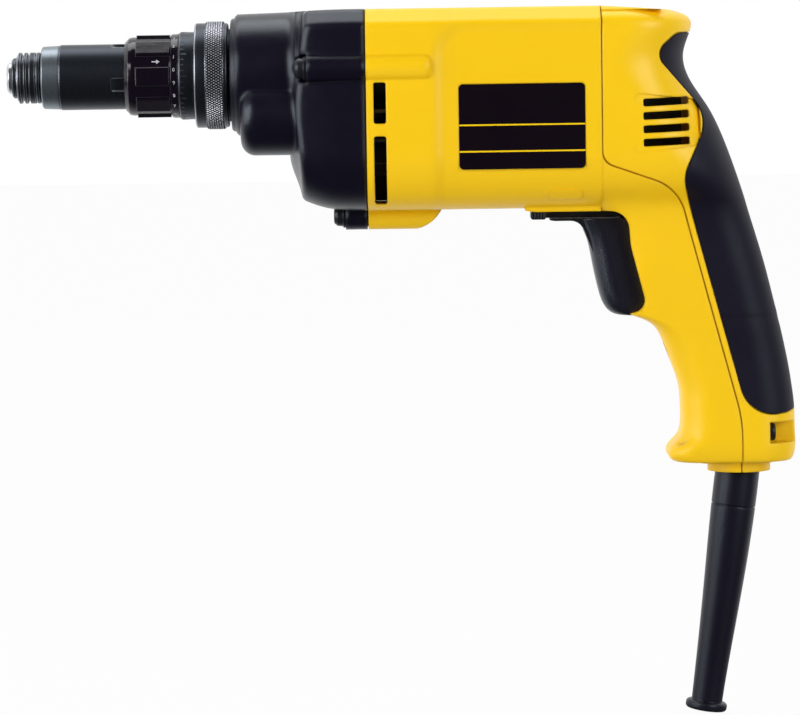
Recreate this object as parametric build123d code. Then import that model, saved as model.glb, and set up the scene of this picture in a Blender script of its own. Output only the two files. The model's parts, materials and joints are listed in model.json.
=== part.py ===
from build123d import *
import math
import os

# A corded electric screwdriver, in millimetres. X runs back along the spindle from the mouth of
# the bit socket, Z is up, and the left side of the tool is at -Y.

# Body shells
BODY_HALF = 34.0
BODY_TOP = 26.0
BODY_BOTTOM = -55.7
BODY_CHAMFER_WIDE = 7.0
BODY_CHAMFER_TALL = 6.0
BODY_ROUND = 22.5
BODY_EDGE_R = 3.0
WALL = 3.0
CASE_END = 146.4
COVER_FRONT = 241.0
JOINT_GAP = 0.4
JOINT_GROOVE = 1.2
BULGE = 0.7
BULGE_END = 174.0
BULGE_FADE_END = 183.0
FAR = 60.0

# Axes, as (Y, Z)
SPINDLE = (0.0, 0.0)
MOTOR = (0.0, -15.0)

# Gear train: two spur stages
PRESSURE = math.radians(25)
ADDENDUM = 0.74
DEDENDUM = 1.0
BACKLASH = 0.12
FAST_MODULE = 0.8
FAST_PINION = 8
FAST_GEAR = 28
SLOW_MODULE = 1.0
SLOW_PINION = 10
SLOW_GEAR = 35
FAST_CENTRES = FAST_MODULE * (FAST_PINION + FAST_GEAR) / 2
SLOW_CENTRES = SLOW_MODULE * (SLOW_PINION + SLOW_GEAR) / 2
MIDDLE_Z = (MOTOR[1] ** 2 - FAST_CENTRES ** 2 + SLOW_CENTRES ** 2) / (2 * MOTOR[1])
MIDDLE = (-math.sqrt(SLOW_CENTRES ** 2 - MIDDLE_Z ** 2), MIDDLE_Z)
SLOW_STAGE = (101.0, 109.0)
FAST_STAGE = (121.0, 127.5)
MIDDLE_JOURNAL_R = 3.0
MIDDLE_SEAT_R = 4.0
MIDDLE_FRONT = 97.0
MIDDLE_END = 137.0

# Running clearance of a shaft in its bush
RUNNING = 0.03

# Output spindle and bit holder
HOLDER_R = 6.4
HOLDER_END = 14.2
HOLDER_GROOVE = (2.1, 3.7)
HOLDER_GROOVE_R = 5.6
SHAFT_R = 5.0
GEAR_SEAT_R = 6.0
GEAR_SEAT = (90.0, 113.0)
TAIL_R = 3.5
SPINDLE_END = 129.0
HEX_FLATS = 6.45
SOCKET_DEEP = 16.0
MOUTH_R = 3.9
MOUTH_DEEP = 2.0
BALL_X = 10.5
BALL_R = 1.75
RIB_SLEEVE = (4.2, 14.0)
RIB_VALLEY_R = 9.3
RIB_CREST_R = 10.4
RIB_SLOPE = 0.4
RIBS = [(12.9, 1.1), (10.6, 2.2), (7.8, 1.1), (5.4, 1.1)]

# Nose sleeve, collar and rings
SLEEVE_R = 13.3
SLEEVE_FRONT = 14.4
SLEEVE_BAND_END = 22.1
SLEEVE_STEP = 50.0
SLEEVE_END = 80.0
SLEEVE_BORE_R = 7.0
SLEEVE_SPRING_R = 11.0
SLEEVE_SPRING_SEAT = 56.0
THREAD_R = 12.4
KEYWAY_COUNT = 4
KEYWAY_TURN = 14.0
KEYWAY_WIDE = 5.3
KEYWAY_DEEP = 1.1
KEYWAY_FRONT = 42.4
COLLAR_FRONT = 48.4
COLLAR_BAND = 67.0
COLLAR_END = 70.3
COLLAR_R = 16.0
COLLAR_RIM = 1.2
COLLAR_PADS = 8
COLLAR_PAD_X = (53.2, 66.8)
JOURNAL_R = 14.4
JOURNAL_FRONT = 58.0
CLIP_X = (60.1, 61.3)
CLIP_DEEP = 0.6
CLIP_HIGH = 0.9
NECK_R = 18.9
RING_FRONT = 70.5
RING_END = 76.7
RING_R = 17.8
LOCK_FRONT = 76.9
LOCK_END = 90.4
LOCK_R = 21.3
KNURL_R = 22.0
KNURL_X = (81.5, 88.8)

# Clutch
CLUTCH_SPRING = (56.1, 90.9)
CLUTCH_PLATE = (91.0, 96.2)
CLUTCH_R = 13.5
CLUTCH_BALL_X = 97.2
CLUTCH_BALL_R = 1.5
CLUTCH_BALL_RING = 10.5
CLUTCH_BALLS = 6
GEAR_HUB_FRONT = 98.2

# Gear case
LIP_FRONT = 91.6
LIP_R = 23.0
BARREL_FRONT = 93.3
BARREL_R = 24.7
BARREL_END = 124.0
BUMP_R = 15.1
BUMP_FRONT = 95.5
BUMP_ROUND = 6.0
CASE_STATIONS = [
    (112.0, 30.4, -48.0, 25.2), (120.6, 32.2, -51.2, 25.5), (128.0, 33.3, -53.9, 25.8),
    (137.0, 33.9, -55.3, BODY_TOP), (CASE_END, BODY_HALF, BODY_BOTTOM, BODY_TOP)]
SHOULDER_X = 115.6
SHOULDER_Z = -14.0
SHOULDER_FILLET = 4.0
SHOULDER_FILLET_BACK = 118.2
SHOULDER_ROUND = 3.2
PLATE = (131.0, 138.0)

# Screw bosses that join the gear case to the motor housing, as (Y, Z)
BOSS_R = 5.7
BOSS_SIDE_Y = 31.8
BOSS_SIDE_Z = 2.6
BOSS_LOW_Z = BODY_BOTTOM - 2.5
BOSSES = [(-BOSS_SIDE_Y, BOSS_SIDE_Z), (BOSS_SIDE_Y, BOSS_SIDE_Z), (0.0, BOSS_LOW_Z)]
BOSS_FRONTS = [122.8, 122.8, 137.3]
BOSS_END = 173.3
BOSS_LOW_FLAT = 166.4
BOSS_LOW_END = 176.6
SCREW_R = 2.1
SCREW_END = 165.0

# Motor
BEARING_R = 9.5
BEARING_BORE = 3.5
FRONT_BEARING = (132.0, 138.0)
REAR_BEARING = (243.0, 249.0)
ARMATURE_SHAFT_R = 5.0
FAN_X = (147.0, 158.6)
FAN_R = 28.0
FAN_DISC = 1.6
FAN_HUB_R = 9.0
FAN_BLADES = 14
BAFFLE_X = (160.5, 162.5)
BAFFLE_BORE_R = 21.0
VANE_Y = (9.0, 11.0)
CORE_START, CORE_END = 172.0, 210.0
ARMATURE_R = 17.5
ARMATURE_SLOTS = 12
SLOT_FLOOR_R = 11.0
WINDING_X = (164.5, 217.5)
WINDING_R = 16.2
STATOR_R = 30.0
POLE_R = 18.1
COIL_R = 25.4
COIL_X = (164.0, 218.0)
SLOT_HALF = 42.0
COMMUTATOR_X = (221.0, 236.0)
COMMUTATOR_R = 11.0
COMMUTATOR_BARS = 24
BRUSH_X = (226.0, 232.0)
BRUSH_Y = (9.5, 20.0)
BRUSH_Z = (MOTOR[1] - 4.0, MOTOR[1] + 4.0)
HOLDER_Y = (13.0, 26.5)
HOLDER_WALL = 1.2
BRACKET_FRONT = 236.5
BRACKET_R = 23.9
BRACKET_HUB_R = 12.5
BRACKET_END = 251.0
BRACKET_WEB_END = 275.0
BRACKET_WEB_Z = (-33.0, -8.5)

# Vents, label and lozenge on the shells
VENT_FRONT_X = (149.5, 154.5)
VENT_FRONT_Z = [(-20.0, -3.4), (-52.6, -25.0)]
VENT_REAR_X = (257.6, 276.4)
VENT_REAR_Z = [-12.8, -18.15, -23.5, -28.85]
VENT_REAR_TALL = 3.1
SCOOP_DEEP = 1.8
SCOOP_X = 254.0
SCOOP_END = 281.0
SCOOP_Z = (-33.4, -9.2)
LABEL_X = (183.6, 234.4)
LABEL_Z = (-39.0, -4.6)
LABEL_DEEP = 0.5
LABEL_THICK = 0.7
LOZENGE_X = (219.6, 233.2)
LOZENGE_Z = (-51.8, -47.6)
LOZENGE_RISE = 0.4

# Cross sections of the rear cover and handle, from the top down:
# height, front, back, half width, front corner radius, back corner radius
HANDLE_STATIONS = [
    (24.3, 230.0, 268.0, 28.8, 8.0, 18.0),
    (22.4, 230.0, 275.4, 31.0, 8.0, 25.0),
    (19.0, 230.0, 278.9, 33.4, 8.0, 28.0),
    (14.5, 230.0, 278.2, 34.0, 8.0, 29.0),
    (6.0, 230.0, 275.7, 34.0, 8.0, 30.0),
    (-3.5, 230.0, 277.9, 34.0, 8.0, 30.0),
    (-14.9, 230.0, 285.2, 34.0, 8.0, 30.0),
    (-28.0, 230.0, 291.6, 34.0, 8.0, 30.0),
    (-40.0, 231.0, 296.0, 32.8, 8.0, 28.0),
    (-47.0, 233.0, 298.4, 29.0, 8.0, 25.0),
    (-53.0, 236.5, 300.4, 22.6, 9.0, 20.0),
    (-58.5, 241.5, 302.0, 19.8, 11.0, 17.5),
    (-66.0, 245.0, 304.3, 18.6, 12.0, 16.5),
    (-82.0, 248.4, 308.9, 18.0, 10.0, 16.0),
    (-97.0, 250.6, 312.6, 17.6, 5.0, 15.5),
    (-99.4, 252.6, 313.2, 17.6, 5.0, 15.5),
    (-100.9, 256.2, 313.5, 17.5, 6.0, 15.5),
    (-102.8, 260.2, 313.9, 17.5, 7.0, 15.5),
    (-106.0, 263.8, 314.7, 17.5, 9.0, 15.5),
    (-111.4, 266.6, 315.9, 17.4, 11.0, 15.5),
    (-121.0, 270.2, 317.8, 17.5, 12.0, 15.5),
    (-130.0, 273.1, 319.2, 17.8, 12.0, 15.5),
    (-138.0, 273.8, 320.1, 18.2, 12.0, 15.5),
    (-146.5, 273.7, 320.3, 18.7, 12.0, 15.5),
    (-150.5, 272.4, 320.4, 19.0, 12.0, 15.2),
    (-154.5, 268.9, 320.4, 19.2, 11.0, 15.0),
    (-158.2, 268.2, 319.7, 18.6, 10.0, 14.0),
    (-160.3, 273.5, 317.2, 16.5, 9.0, 12.0),
    (-161.3, 280.0, 312.0, 13.0, 8.0, 9.0),
]
HANDLE_TOP = HANDLE_STATIONS[0][0]
HANDLE_BOTTOM = HANDLE_STATIONS[-1][0]
HOLLOW_FRONT = 228.0
HOLLOW_LOW_FRONT = 266.0
HOLLOW_CORNER = 4.0
HOLLOW_SINK = (-44.0, -58.0)
ROOF_FADE = 10.0
ROOF_END = 266.0
FLOOR_FADE = -148.0
SKIRT_BOTTOM = -57.0
SKIRT_HALF = 18.0
GRIP_THICK = 1.8
GRIP_LIP = 0.8
GRIP_GROW = 0.005

# Cover screws
TOP_SCREW = (247.5, 19.0)
TOP_POCKET = ((TOP_SCREW[0], 259.0), (-4.3, 4.3), (14.6, 40.0))
FRONT_SCREW = (270.3, -114.4)
FRONT_SCREW_RISE = -20.0
LOW_SCREW = (308.9, -148.4)
LOW_SCREW_Y = 12.8
LOW_POCKET_R = 4.3
SCREW_POST_R = 4.6
FRONT_POST_R = 5.6
THREAD_HOLE_R = SCREW_R - 0.5
HEAD_R = 3.7
HEAD_TALL = 2.6
COVER_SCREW_LONG = 18.0

# Cord outlet and guard
CORD_X = 297.5
OUTLET_R = 12.9
OUTLET_TOP = -158.0
OUTLET_END = -165.0
GUARD_NECK_R = 7.4
GUARD_NECK_TOP = -153.5
GUARD_RIM_R = 9.8
GUARD_RIM_Z = -155.4
GUARD_RIM_TALL = 3.8
CORD_R = 4.3
CORD_MOUTH_R = 4.7
CORD_MOUTH_LONG = 12.0
GUARD_LEAN_TOP = math.radians(7.2)
GUARD_LEAN_END = math.radians(8.4)
GUARD_TOP_LONG = 18.0
GUARD_BEND_LONG = 38.0
GUARD_END_LONG = 45.7
GUARD_SINK = 1.2
GUARD_SOCKET_R = 10.0
GUARD_SOCKET_DEEP = 3.0
GUARD_STATIONS = [(0.0, 9.05), (0.14, 9.1), (0.36, 8.55), (0.65, 7.35), (0.98, 6.3)]
GUARD_GROOVE_AT = 0.153
GUARD_GROOVE_WIDE = 0.7
GUARD_GROOVE_DEEP = 0.4
FLANGE_R = 8.5
FLANGE_THICK = 3.6

# Trigger, switch and reverse lever
TRIGGER_HALF = 11.0
TRIGGER_TOP = -60.4
TRIGGER_BACK = 260.5
TRIGGER_FRONT_R = 8.0
TRIGGER_BACK_R = 1.0
TRIGGER_Z = -78.0
TRIGGER_FRONTS = [
    (TRIGGER_TOP, 232.3), (-66.0, 234.9), (-72.0, 236.7), (-80.0, 238.2), (-88.0, 239.9),
    (-94.0, 241.6), (-98.0, 244.0), (-100.1, 248.5)]
HOOK_FRONT = 220.7
PLUNGER_R = 3.0
PLUNGER_END = 274.0
SLOT_GAP = 0.5
SWITCH_FRONT = 268.0
SWITCH_BACK = 292.0
SWITCH_HALF = 10.0
SWITCH_TOP = -61.2
SWITCH_BOTTOM = -96.0
SPRING_SEAT = 272.0
LEVER_TOP = -57.4
LEVER_BOTTOM = -60.1
LEVER_PIVOT_X = 274.0
LEVER_PIVOT_R = 2.0
LEVER_FRONT = 212.9
LEVER_TIP_LONG = 6.2
LEVER_TIP_HALF = 6.0
LEVER_RIBS = 4


# Helpers
def disc(radius, at=SPINDLE):
    return Pos(at[0], at[1]) * Circle(radius)


def prism(sketch, start, end):
    return extrude(Plane.YZ.offset(start) * sketch, amount=end - start)


def tube(start, end, outer, inner=0.0, at=SPINDLE):
    face = disc(outer, at)
    if inner:
        face -= disc(inner, at)
    return prism(face, start, end)


def turned(outline, at=SPINDLE):
    face = make_face(Polyline(*outline, close=True))
    return Pos(0, at[0], at[1]) * revolve(face, Axis.X)


def slab(face, half):
    return extrude(Plane.XZ * face, amount=half, both=True)


def polygon(*points):
    return make_face(Polyline(*points, close=True))


def rounded(corners):
    face = polygon(*[(x, z) for x, z, radius in corners])
    for x, z, radius in corners:
        if radius:
            corner = min(face.vertices(), key=lambda v: math.dist((v.X, v.Y), (x, z)))
            face = fillet(corner, radius)
    return face


def plate(x, z, radius):
    size = RectangleRounded(x[1] - x[0], z[1] - z[0], radius)
    return Pos(sum(x) / 2, sum(z) / 2) * size


def block(x, y, z):
    centre = [(low + high) / 2 for low, high in (x, y, z)]
    return Pos(*centre) * Box(x[1] - x[0], y[1] - y[0], z[1] - z[0])


def about(middle, half):
    return (middle - half, middle + half)


def along_x(start, end, radius):
    return Pos((start + end) / 2, 0, 0) * Rot(0, 90, 0) * Cylinder(radius, end - start)


def upright(x, low, high, radius):
    return Pos(x, 0, (low + high) / 2) * Cylinder(radius, high - low)


def both_sides(part):
    return part + mirror(part, Plane.XZ)


def pair(part):
    return Compound(children=[part, mirror(part, Plane.XZ)])


def ring_of(count, part):
    return [Rot(360 / count * number, 0, 0) * part for number in range(count)]


def coil(start, end, mean, wire, turns, at=SPINDLE):
    length = end - start - 2 * wire
    centre = (start + wire, at[0], at[1])
    path = Helix(length / turns, length, mean, center=centre, direction=(1, 0, 0))
    return sweep(Plane(path @ 0, z_dir=path % 0) * Circle(wire), path, is_frenet=True)


def polar(radius, angle):
    return (radius * math.cos(angle), radius * math.sin(angle))


def sector(inner, outer, first, last):
    middle = math.radians((first + last) / 2)
    first = math.radians(first)
    last = math.radians(last)
    edges = [
        ThreePointArc(polar(outer, first), polar(outer, middle), polar(outer, last)),
        Line(polar(outer, last), polar(inner, last)),
        ThreePointArc(polar(inner, last), polar(inner, middle), polar(inner, first)),
        Line(polar(inner, first), polar(outer, first)),
    ]
    return make_face(edges)


def direction(start, end):
    return math.atan2(end[1] - start[1], end[0] - start[0])


# Gear teeth: involute flanks as arcs through three points of the true curve
def involute(angle):
    return math.tan(angle) - angle


def gear_face(teeth, module, turn):
    pitch = teeth * module / 2
    base = pitch * math.cos(PRESSURE)
    tip = pitch + ADDENDUM * module
    root = pitch - DEDENDUM * module
    flank = max(base, root)
    waist = (flank + tip) / 2
    half_tooth = math.pi / (2 * teeth) - BACKLASH / (2 * pitch)

    def half_angle(radius):
        return half_tooth + involute(PRESSURE) - involute(math.acos(min(1.0, base / radius)))

    low, mid, high = half_angle(flank), half_angle(waist), half_angle(tip)
    step = 2 * math.pi / teeth
    edges = []
    for tooth in range(teeth):
        centre = turn + tooth * step
        if root < base:
            edges.append(Line(polar(root, centre - low), polar(flank, centre - low)))
            edges.append(Line(polar(flank, centre + low), polar(root, centre + low)))
        edges.append(ThreePointArc(
            polar(flank, centre - low), polar(waist, centre - mid), polar(tip, centre - high)))
        edges.append(ThreePointArc(
            polar(tip, centre - high), polar(tip, centre), polar(tip, centre + high)))
        edges.append(ThreePointArc(
            polar(tip, centre + high), polar(waist, centre + mid), polar(flank, centre + low)))
        edges.append(ThreePointArc(
            polar(root, centre + low), polar(root, centre + step / 2), polar(root, centre + step - low)))
    return make_face(edges)


# Forms of the shells
def body_section(inset=0.0, top=BODY_TOP, half=BODY_HALF, bottom=BODY_BOTTOM):
    shoulder = half - BODY_CHAMFER_WIDE
    eave = top - BODY_CHAMFER_TALL
    turn_y = half - BODY_ROUND
    turn_z = bottom + BODY_ROUND
    bend = BODY_ROUND * math.sqrt(0.5)
    edges = [
        Line((-shoulder, top), (shoulder, top)),
        Line((shoulder, top), (half, eave)),
        Line((half, eave), (half, turn_z)),
        ThreePointArc((half, turn_z), (turn_y + bend, turn_z - bend), (turn_y, bottom)),
        Line((turn_y, bottom), (-turn_y, bottom)),
        ThreePointArc((-turn_y, bottom), (-turn_y - bend, turn_z - bend), (-half, turn_z)),
        Line((-half, turn_z), (-half, eave)),
        Line((-half, eave), (-shoulder, top)),
    ]
    face = make_face(edges)
    if inset:
        face = offset(face, -inset, kind=Kind.INTERSECTION)
    soft = [v for v in face.vertices() if v.Y > turn_z + BODY_ROUND / 2]
    return fillet(soft, BODY_EDGE_R)


def share(value, start, end):
    return min(1.0, max(0.0, (value - start) / (end - start)))


def fade(height):
    return share(height, FLOOR_FADE, HANDLE_BOTTOM) - share(height, ROOF_FADE, HANDLE_TOP)


def handle_section(height, front, back, half, front_r, back_r):
    front_bend = front_r * (1 - math.sqrt(0.5))
    back_bend = back_r * (1 - math.sqrt(0.5))

    def corner(start, x, y, end):
        return ThreePointArc(start, (x, y), end)

    edges = [
        Line((front + front_r, -half), (back - back_r, -half)),
        corner((back - back_r, -half), back - back_bend, back_bend - half, (back, back_r - half)),
        Line((back, back_r - half), (back, half - back_r)),
        corner((back, half - back_r), back - back_bend, half - back_bend, (back - back_r, half)),
        Line((back - back_r, half), (front + front_r, half)),
        corner((front + front_r, half), front + front_bend, half - front_bend, (front, half - front_r)),
        Line((front, half - front_r), (front, front_r - half)),
        corner((front, front_r - half), front + front_bend, front_bend - half, (front + front_r, -half)),
    ]
    return Plane.XY.offset(height) * make_face(edges)


def handle_form(inset=0.0, hollow=False):
    sections = []
    for height, front, back, half, front_r, back_r in HANDLE_STATIONS:
        front += inset
        if hollow:
            low_front = (HOLLOW_LOW_FRONT - HOLLOW_FRONT) * share(height, *HOLLOW_SINK)
            front = max(front, HOLLOW_FRONT + low_front)
            front_r = inset + HOLLOW_CORNER
        sections.append(handle_section(
            height + inset * fade(height), front, back - inset, half - inset,
            front_r - inset, back_r - inset))
    return loft(sections)


def cover_roof():
    low = HANDLE_TOP - 0.1
    slope = polygon((COVER_FRONT, low), (COVER_FRONT, BODY_TOP), (ROOF_END, low))
    return prism(body_section(), COVER_FRONT, ROOF_END) & slab(slope, FAR)


def behind_cover_front():
    return block((COVER_FRONT, 400.0), (-80.0, 80.0), (-200.0, 80.0))


def rear_zone(gap=0.0):
    face = rounded([
        (COVER_FRONT, 40.0, 0), (COVER_FRONT, -37.0, 6), (272.0, -48.0, 20), (CORD_X, -143.0, 60),
        (CORD_X, -175.0, 0), (360.0, -175.0, 0), (360.0, 40.0, 0)])
    return Pos(gap, 0, gap) * slab(face, FAR)


def grip_zone(grow=0.0):
    far, middle = 360.0, -62.0
    corners = [
        (far, 14.6, 0), (272.0, 14.6, 6), (262.5, 6.5, 6), (285.0, -19.0, 14), (273.7, -43.0, 14),
        (300.6, -141.8, 14), (316.0, -140.3, 0), (330.0, -136.0, 0), (far, -136.0, 0)]
    face = rounded([
        (far + (x - far) * (1 + grow), middle + (z - middle) * (1 + grow), radius)
        for x, z, radius in corners])
    return slab(face, FAR)


def pocket_zone():
    face = rounded([
        (200.0, SKIRT_BOTTOM, 0), (252.2, SKIRT_BOTTOM, 8), (253.2, -71.5, 30), (259.8, -97.2, 5),
        (252.4, -99.3, 0), (240.0, -102.8, 0), (200.0, -102.8, 0)])
    return slab(face, FAR)


def vent_scoop():
    sections = []
    for height, front, back, half, front_r, back_r in HANDLE_STATIONS:
        if abs(height - sum(SCOOP_Z) / 2) < SCOOP_Z[1] - SCOOP_Z[0]:
            sections.append(handle_section(
                height, front, back - SCOOP_DEEP, half, front_r, back_r))
    low, high = SCOOP_Z
    zone = rounded([
        (SCOOP_X, high, 2.5), (SCOOP_X, low, 2.5), (SCOOP_END, low + 3.0, 0), (SCOOP_END, high - 3.0, 0)])
    return slab(zone, FAR) - loft(sections)


def case_form(inset=0.0):
    sections = [
        Plane.YZ.offset(x) * body_section(inset, top, half, bottom)
        for x, half, bottom, top in CASE_STATIONS]
    return loft(sections)


def shoulder_dome(back=0.0):
    start, end = SHOULDER_X, SHOULDER_X + 46.0
    curve = Spline(
        (start, 14.0), (start + 0.5, 25.0), (start + 3.2, 32.5), (start + 4.8, 40.0), (start + 8.0, 50.0),
        (start + 26.0, FAR))
    face = make_face([
        curve, Line((start + 26.0, FAR), (end, FAR)), Line((end, FAR), (end, 0.0)),
        Line((end, 0.0), (start, 0.0)), Line((start, 0.0), (start, 14.0))])
    return Pos(back, 0, SHOULDER_Z) * revolve(face, Axis.X)


def shoulder():
    body = case_form() & shoulder_dome()
    front = body.faces().filter_by(GeomType.REVOLUTION)[0]
    return fillet(front.edges().filter_by_position(Axis.X, SHOULDER_X + 1.5, CASE_END), SHOULDER_ROUND)


def shoulder_fillet():
    reach, back = SHOULDER_FILLET, SHOULDER_FILLET_BACK
    front = back - reach
    bend = reach * math.sqrt(0.5)
    floor, low, high = BARREL_R - 1.5, BARREL_R + 0.5, BARREL_R + 0.5 + reach
    face = make_face([
        ThreePointArc((front, low), (front + bend, high - bend), (back, high)),
        Line((back, high), (BARREL_END, high)), Line((BARREL_END, high), (BARREL_END, floor)),
        Line((BARREL_END, floor), (front, floor)), Line((front, floor), (front, low))])
    return revolve(face, Axis.X) & case_form()


# Nose
def output_spindle():
    groove_front, groove_back = HOLDER_GROOVE
    body = turned([
        (0.0, 0.0), (0.0, HOLDER_R - 0.9), (0.9, HOLDER_R), (groove_front, HOLDER_R),
        (groove_front, HOLDER_GROOVE_R), (groove_back, HOLDER_GROOVE_R), (groove_back, HOLDER_R),
        (HOLDER_END, HOLDER_R), (HOLDER_END, SHAFT_R), (GEAR_SEAT[0], SHAFT_R), (GEAR_SEAT[0], GEAR_SEAT_R),
        (GEAR_SEAT[1], GEAR_SEAT_R), (GEAR_SEAT[1], TAIL_R), (SPINDLE_END, TAIL_R), (SPINDLE_END, 0.0)])
    body -= prism(RegularPolygon(HEX_FLATS / 2, 6, major_radius=False), 0.0, SOCKET_DEEP)
    body -= tube(0.0, MOUTH_DEEP, MOUTH_R)
    return body - Pos(BALL_X, 0, HOLDER_R / 2 + 1.5) * Cylinder(BALL_R + 0.05, HOLDER_R)


def bit_ball():
    return Pos(BALL_X, 0, HOLDER_R - BALL_R) * Sphere(BALL_R)


def sleeve_washer():
    front, back = HOLDER_GROOVE
    return turned([
        (front, HOLDER_GROOVE_R), (front, 7.6), (front + 0.6, 8.2), (back, 8.2), (back, HOLDER_GROOVE_R)])


def bit_sleeve():
    front, back = RIB_SLEEVE
    bore = HOLDER_R + 0.08
    outline = [
        (front, 8.5), (front + 4.2, 8.5), (front + 4.2, bore), (BALL_X, bore), (back - 1.2, 7.3),
        (back, 7.3), (back, RIB_VALLEY_R)]
    for middle, wide in RIBS:
        low, high = about(middle, wide / 2)
        outline += [
            (high + RIB_SLOPE, RIB_VALLEY_R), (high, RIB_CREST_R), (low, RIB_CREST_R),
            (low - RIB_SLOPE, RIB_VALLEY_R)]
    outline.append((front, RIB_VALLEY_R))
    return turned(outline)


def sleeve_spring():
    return coil(HOLDER_GROOVE[1] + 0.1, RIB_SLEEVE[0] + 4.1, 7.5, 0.35, 3)


def keyway_places():
    return [Rot(KEYWAY_TURN + 360 / KEYWAY_COUNT * number, 0, 0) for number in range(KEYWAY_COUNT)]


def nose_sleeve():
    body = turned([
        (SLEEVE_FRONT, 5.6), (SLEEVE_FRONT, 12.2), (SLEEVE_FRONT + 0.5, 12.7),
        (SLEEVE_BAND_END - 0.4, 13.0), (SLEEVE_BAND_END, SLEEVE_R), (SLEEVE_STEP, SLEEVE_R),
        (SLEEVE_STEP, THREAD_R), (SLEEVE_END, THREAD_R), (SLEEVE_END, SLEEVE_SPRING_R),
        (SLEEVE_SPRING_SEAT, SLEEVE_SPRING_R), (SLEEVE_SPRING_SEAT, SLEEVE_BORE_R),
        (SLEEVE_FRONT + 1.6, SLEEVE_BORE_R), (SLEEVE_FRONT + 1.6, 5.6)])
    floor, top, end = SLEEVE_R - KEYWAY_DEEP, SLEEVE_R + 0.4, SLEEVE_STEP + 1.0
    ramp = KEYWAY_FRONT + 3.6
    cut = make_face([
        Line((end, floor), (ramp, floor)),
        ThreePointArc((ramp, floor), (KEYWAY_FRONT + 1.5, floor + 0.45), (KEYWAY_FRONT, top)),
        Line((KEYWAY_FRONT, top), (end, top)),
        Line((end, top), (end, floor))])
    for place in keyway_places():
        body -= place * slab(cut, KEYWAY_WIDE / 2)
    return body


def nose_bush():
    return tube(SLEEVE_FRONT + 1.6, SLEEVE_FRONT + 9.6, SLEEVE_BORE_R, SHAFT_R + RUNNING)


def adjusting_collar():
    bore = SLEEVE_R + 0.15
    body = turned([
        (COLLAR_FRONT, bore), (COLLAR_FRONT, COLLAR_R - 2.0), (COLLAR_FRONT + 1.6, COLLAR_R - 0.3),
        (COLLAR_FRONT + 3.0, COLLAR_R), (COLLAR_BAND, COLLAR_R),
        (COLLAR_BAND + 0.4, COLLAR_R + COLLAR_RIM - 0.2), (COLLAR_END, COLLAR_R + COLLAR_RIM),
        (COLLAR_END, JOURNAL_R + RUNNING), (JOURNAL_FRONT, JOURNAL_R + RUNNING), (JOURNAL_FRONT, bore)])
    pad = Pos(COLLAR_R - 0.6, 0) * RectangleRounded(2.7, 7.6, 0.7)
    pads = Part() + ring_of(COLLAR_PADS, prism(pad, *COLLAR_PAD_X))
    body += pads - tube(COLLAR_PAD_X[0] - 1, COLLAR_PAD_X[1] + 1, COLLAR_R - 0.5)
    key_half = KEYWAY_WIDE / 2 - 0.2
    key_x = (COLLAR_FRONT + 0.2, SLEEVE_STEP + 1.0)
    key = block(key_x, (-key_half, key_half), (THREAD_R + 0.1, SLEEVE_R + 0.6))
    for place in keyway_places():
        body += place * key
    return body - tube(CLIP_X[0] - 0.1, CLIP_X[1] + 0.1, JOURNAL_R + CLIP_HIGH + 0.1)


def collar_retaining_ring():
    return tube(*CLIP_X, JOURNAL_R + CLIP_HIGH, JOURNAL_R - CLIP_DEEP)


def graduated_ring():
    return turned([
        (RING_FRONT, JOURNAL_R), (RING_FRONT, RING_R - 0.4), (RING_FRONT + 0.5, RING_R),
        (RING_END - 0.3, RING_R), (RING_END, RING_R - 0.3), (RING_END, JOURNAL_R)])


def lock_ring():
    bore = NECK_R + 0.05
    return turned([
        (LOCK_FRONT, bore), (LOCK_FRONT, LOCK_R - 0.8), (LOCK_FRONT + 0.8, LOCK_R), (KNURL_X[0], LOCK_R),
        (KNURL_X[0] + 0.3, KNURL_R), (KNURL_X[1] - 0.4, KNURL_R), (KNURL_X[1], LOCK_R),
        (LOCK_END - 0.4, LOCK_R - 0.1), (LOCK_END, LOCK_R - 0.6), (LOCK_END, bore)])


# Clutch
def clutch_spring():
    return coil(*CLUTCH_SPRING, 8.6, 1.0, 7)


def clutch_ball_places():
    return ring_of(CLUTCH_BALLS, Pos(CLUTCH_BALL_X, 0, CLUTCH_BALL_RING) * Rot(0, 0, 90))


def clutch_balls():
    return Compound(children=[place * Sphere(CLUTCH_BALL_R) for place in clutch_ball_places()])


def with_ball_seats(part):
    for place in clutch_ball_places():
        part -= place * Sphere(CLUTCH_BALL_R)
    return part


def clutch_plate():
    return with_ball_seats(tube(*CLUTCH_PLATE, CLUTCH_R, GEAR_SEAT_R))


# Gears and their bushes
def spindle_gear():
    turn = direction(SPINDLE, MIDDLE) + math.pi / SLOW_GEAR
    hub = with_ball_seats(tube(GEAR_HUB_FRONT, SLOW_STAGE[0], CLUTCH_R, GEAR_SEAT_R))
    return hub + prism(gear_face(SLOW_GEAR, SLOW_MODULE, turn) - Circle(GEAR_SEAT_R), *SLOW_STAGE)


def spindle_rear_bush():
    return tube(SPINDLE_END - 7.0, SPINDLE_END + 1.0, 5.4, TAIL_R + RUNNING)


def intermediate_shaft():
    pinion = Pos(*MIDDLE) * gear_face(SLOW_PINION, SLOW_MODULE, direction(MIDDLE, SPINDLE))
    pinion_x = (SLOW_STAGE[0] - 0.8, SLOW_STAGE[1] + 2.0)
    seat_end = FAST_STAGE[1] + 0.3
    body = prism(pinion, *pinion_x)
    body += tube(MIDDLE_FRONT, pinion_x[0], MIDDLE_JOURNAL_R, at=MIDDLE)
    body += tube(pinion_x[1], seat_end, MIDDLE_SEAT_R, at=MIDDLE)
    return body + tube(seat_end, MIDDLE_END, MIDDLE_JOURNAL_R, at=MIDDLE)


def intermediate_gear():
    turn = direction(MIDDLE, MOTOR) + math.pi / FAST_GEAR
    face = Pos(*MIDDLE) * gear_face(FAST_GEAR, FAST_MODULE, turn)
    return prism(face - disc(MIDDLE_SEAT_R, MIDDLE), *FAST_STAGE)


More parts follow.
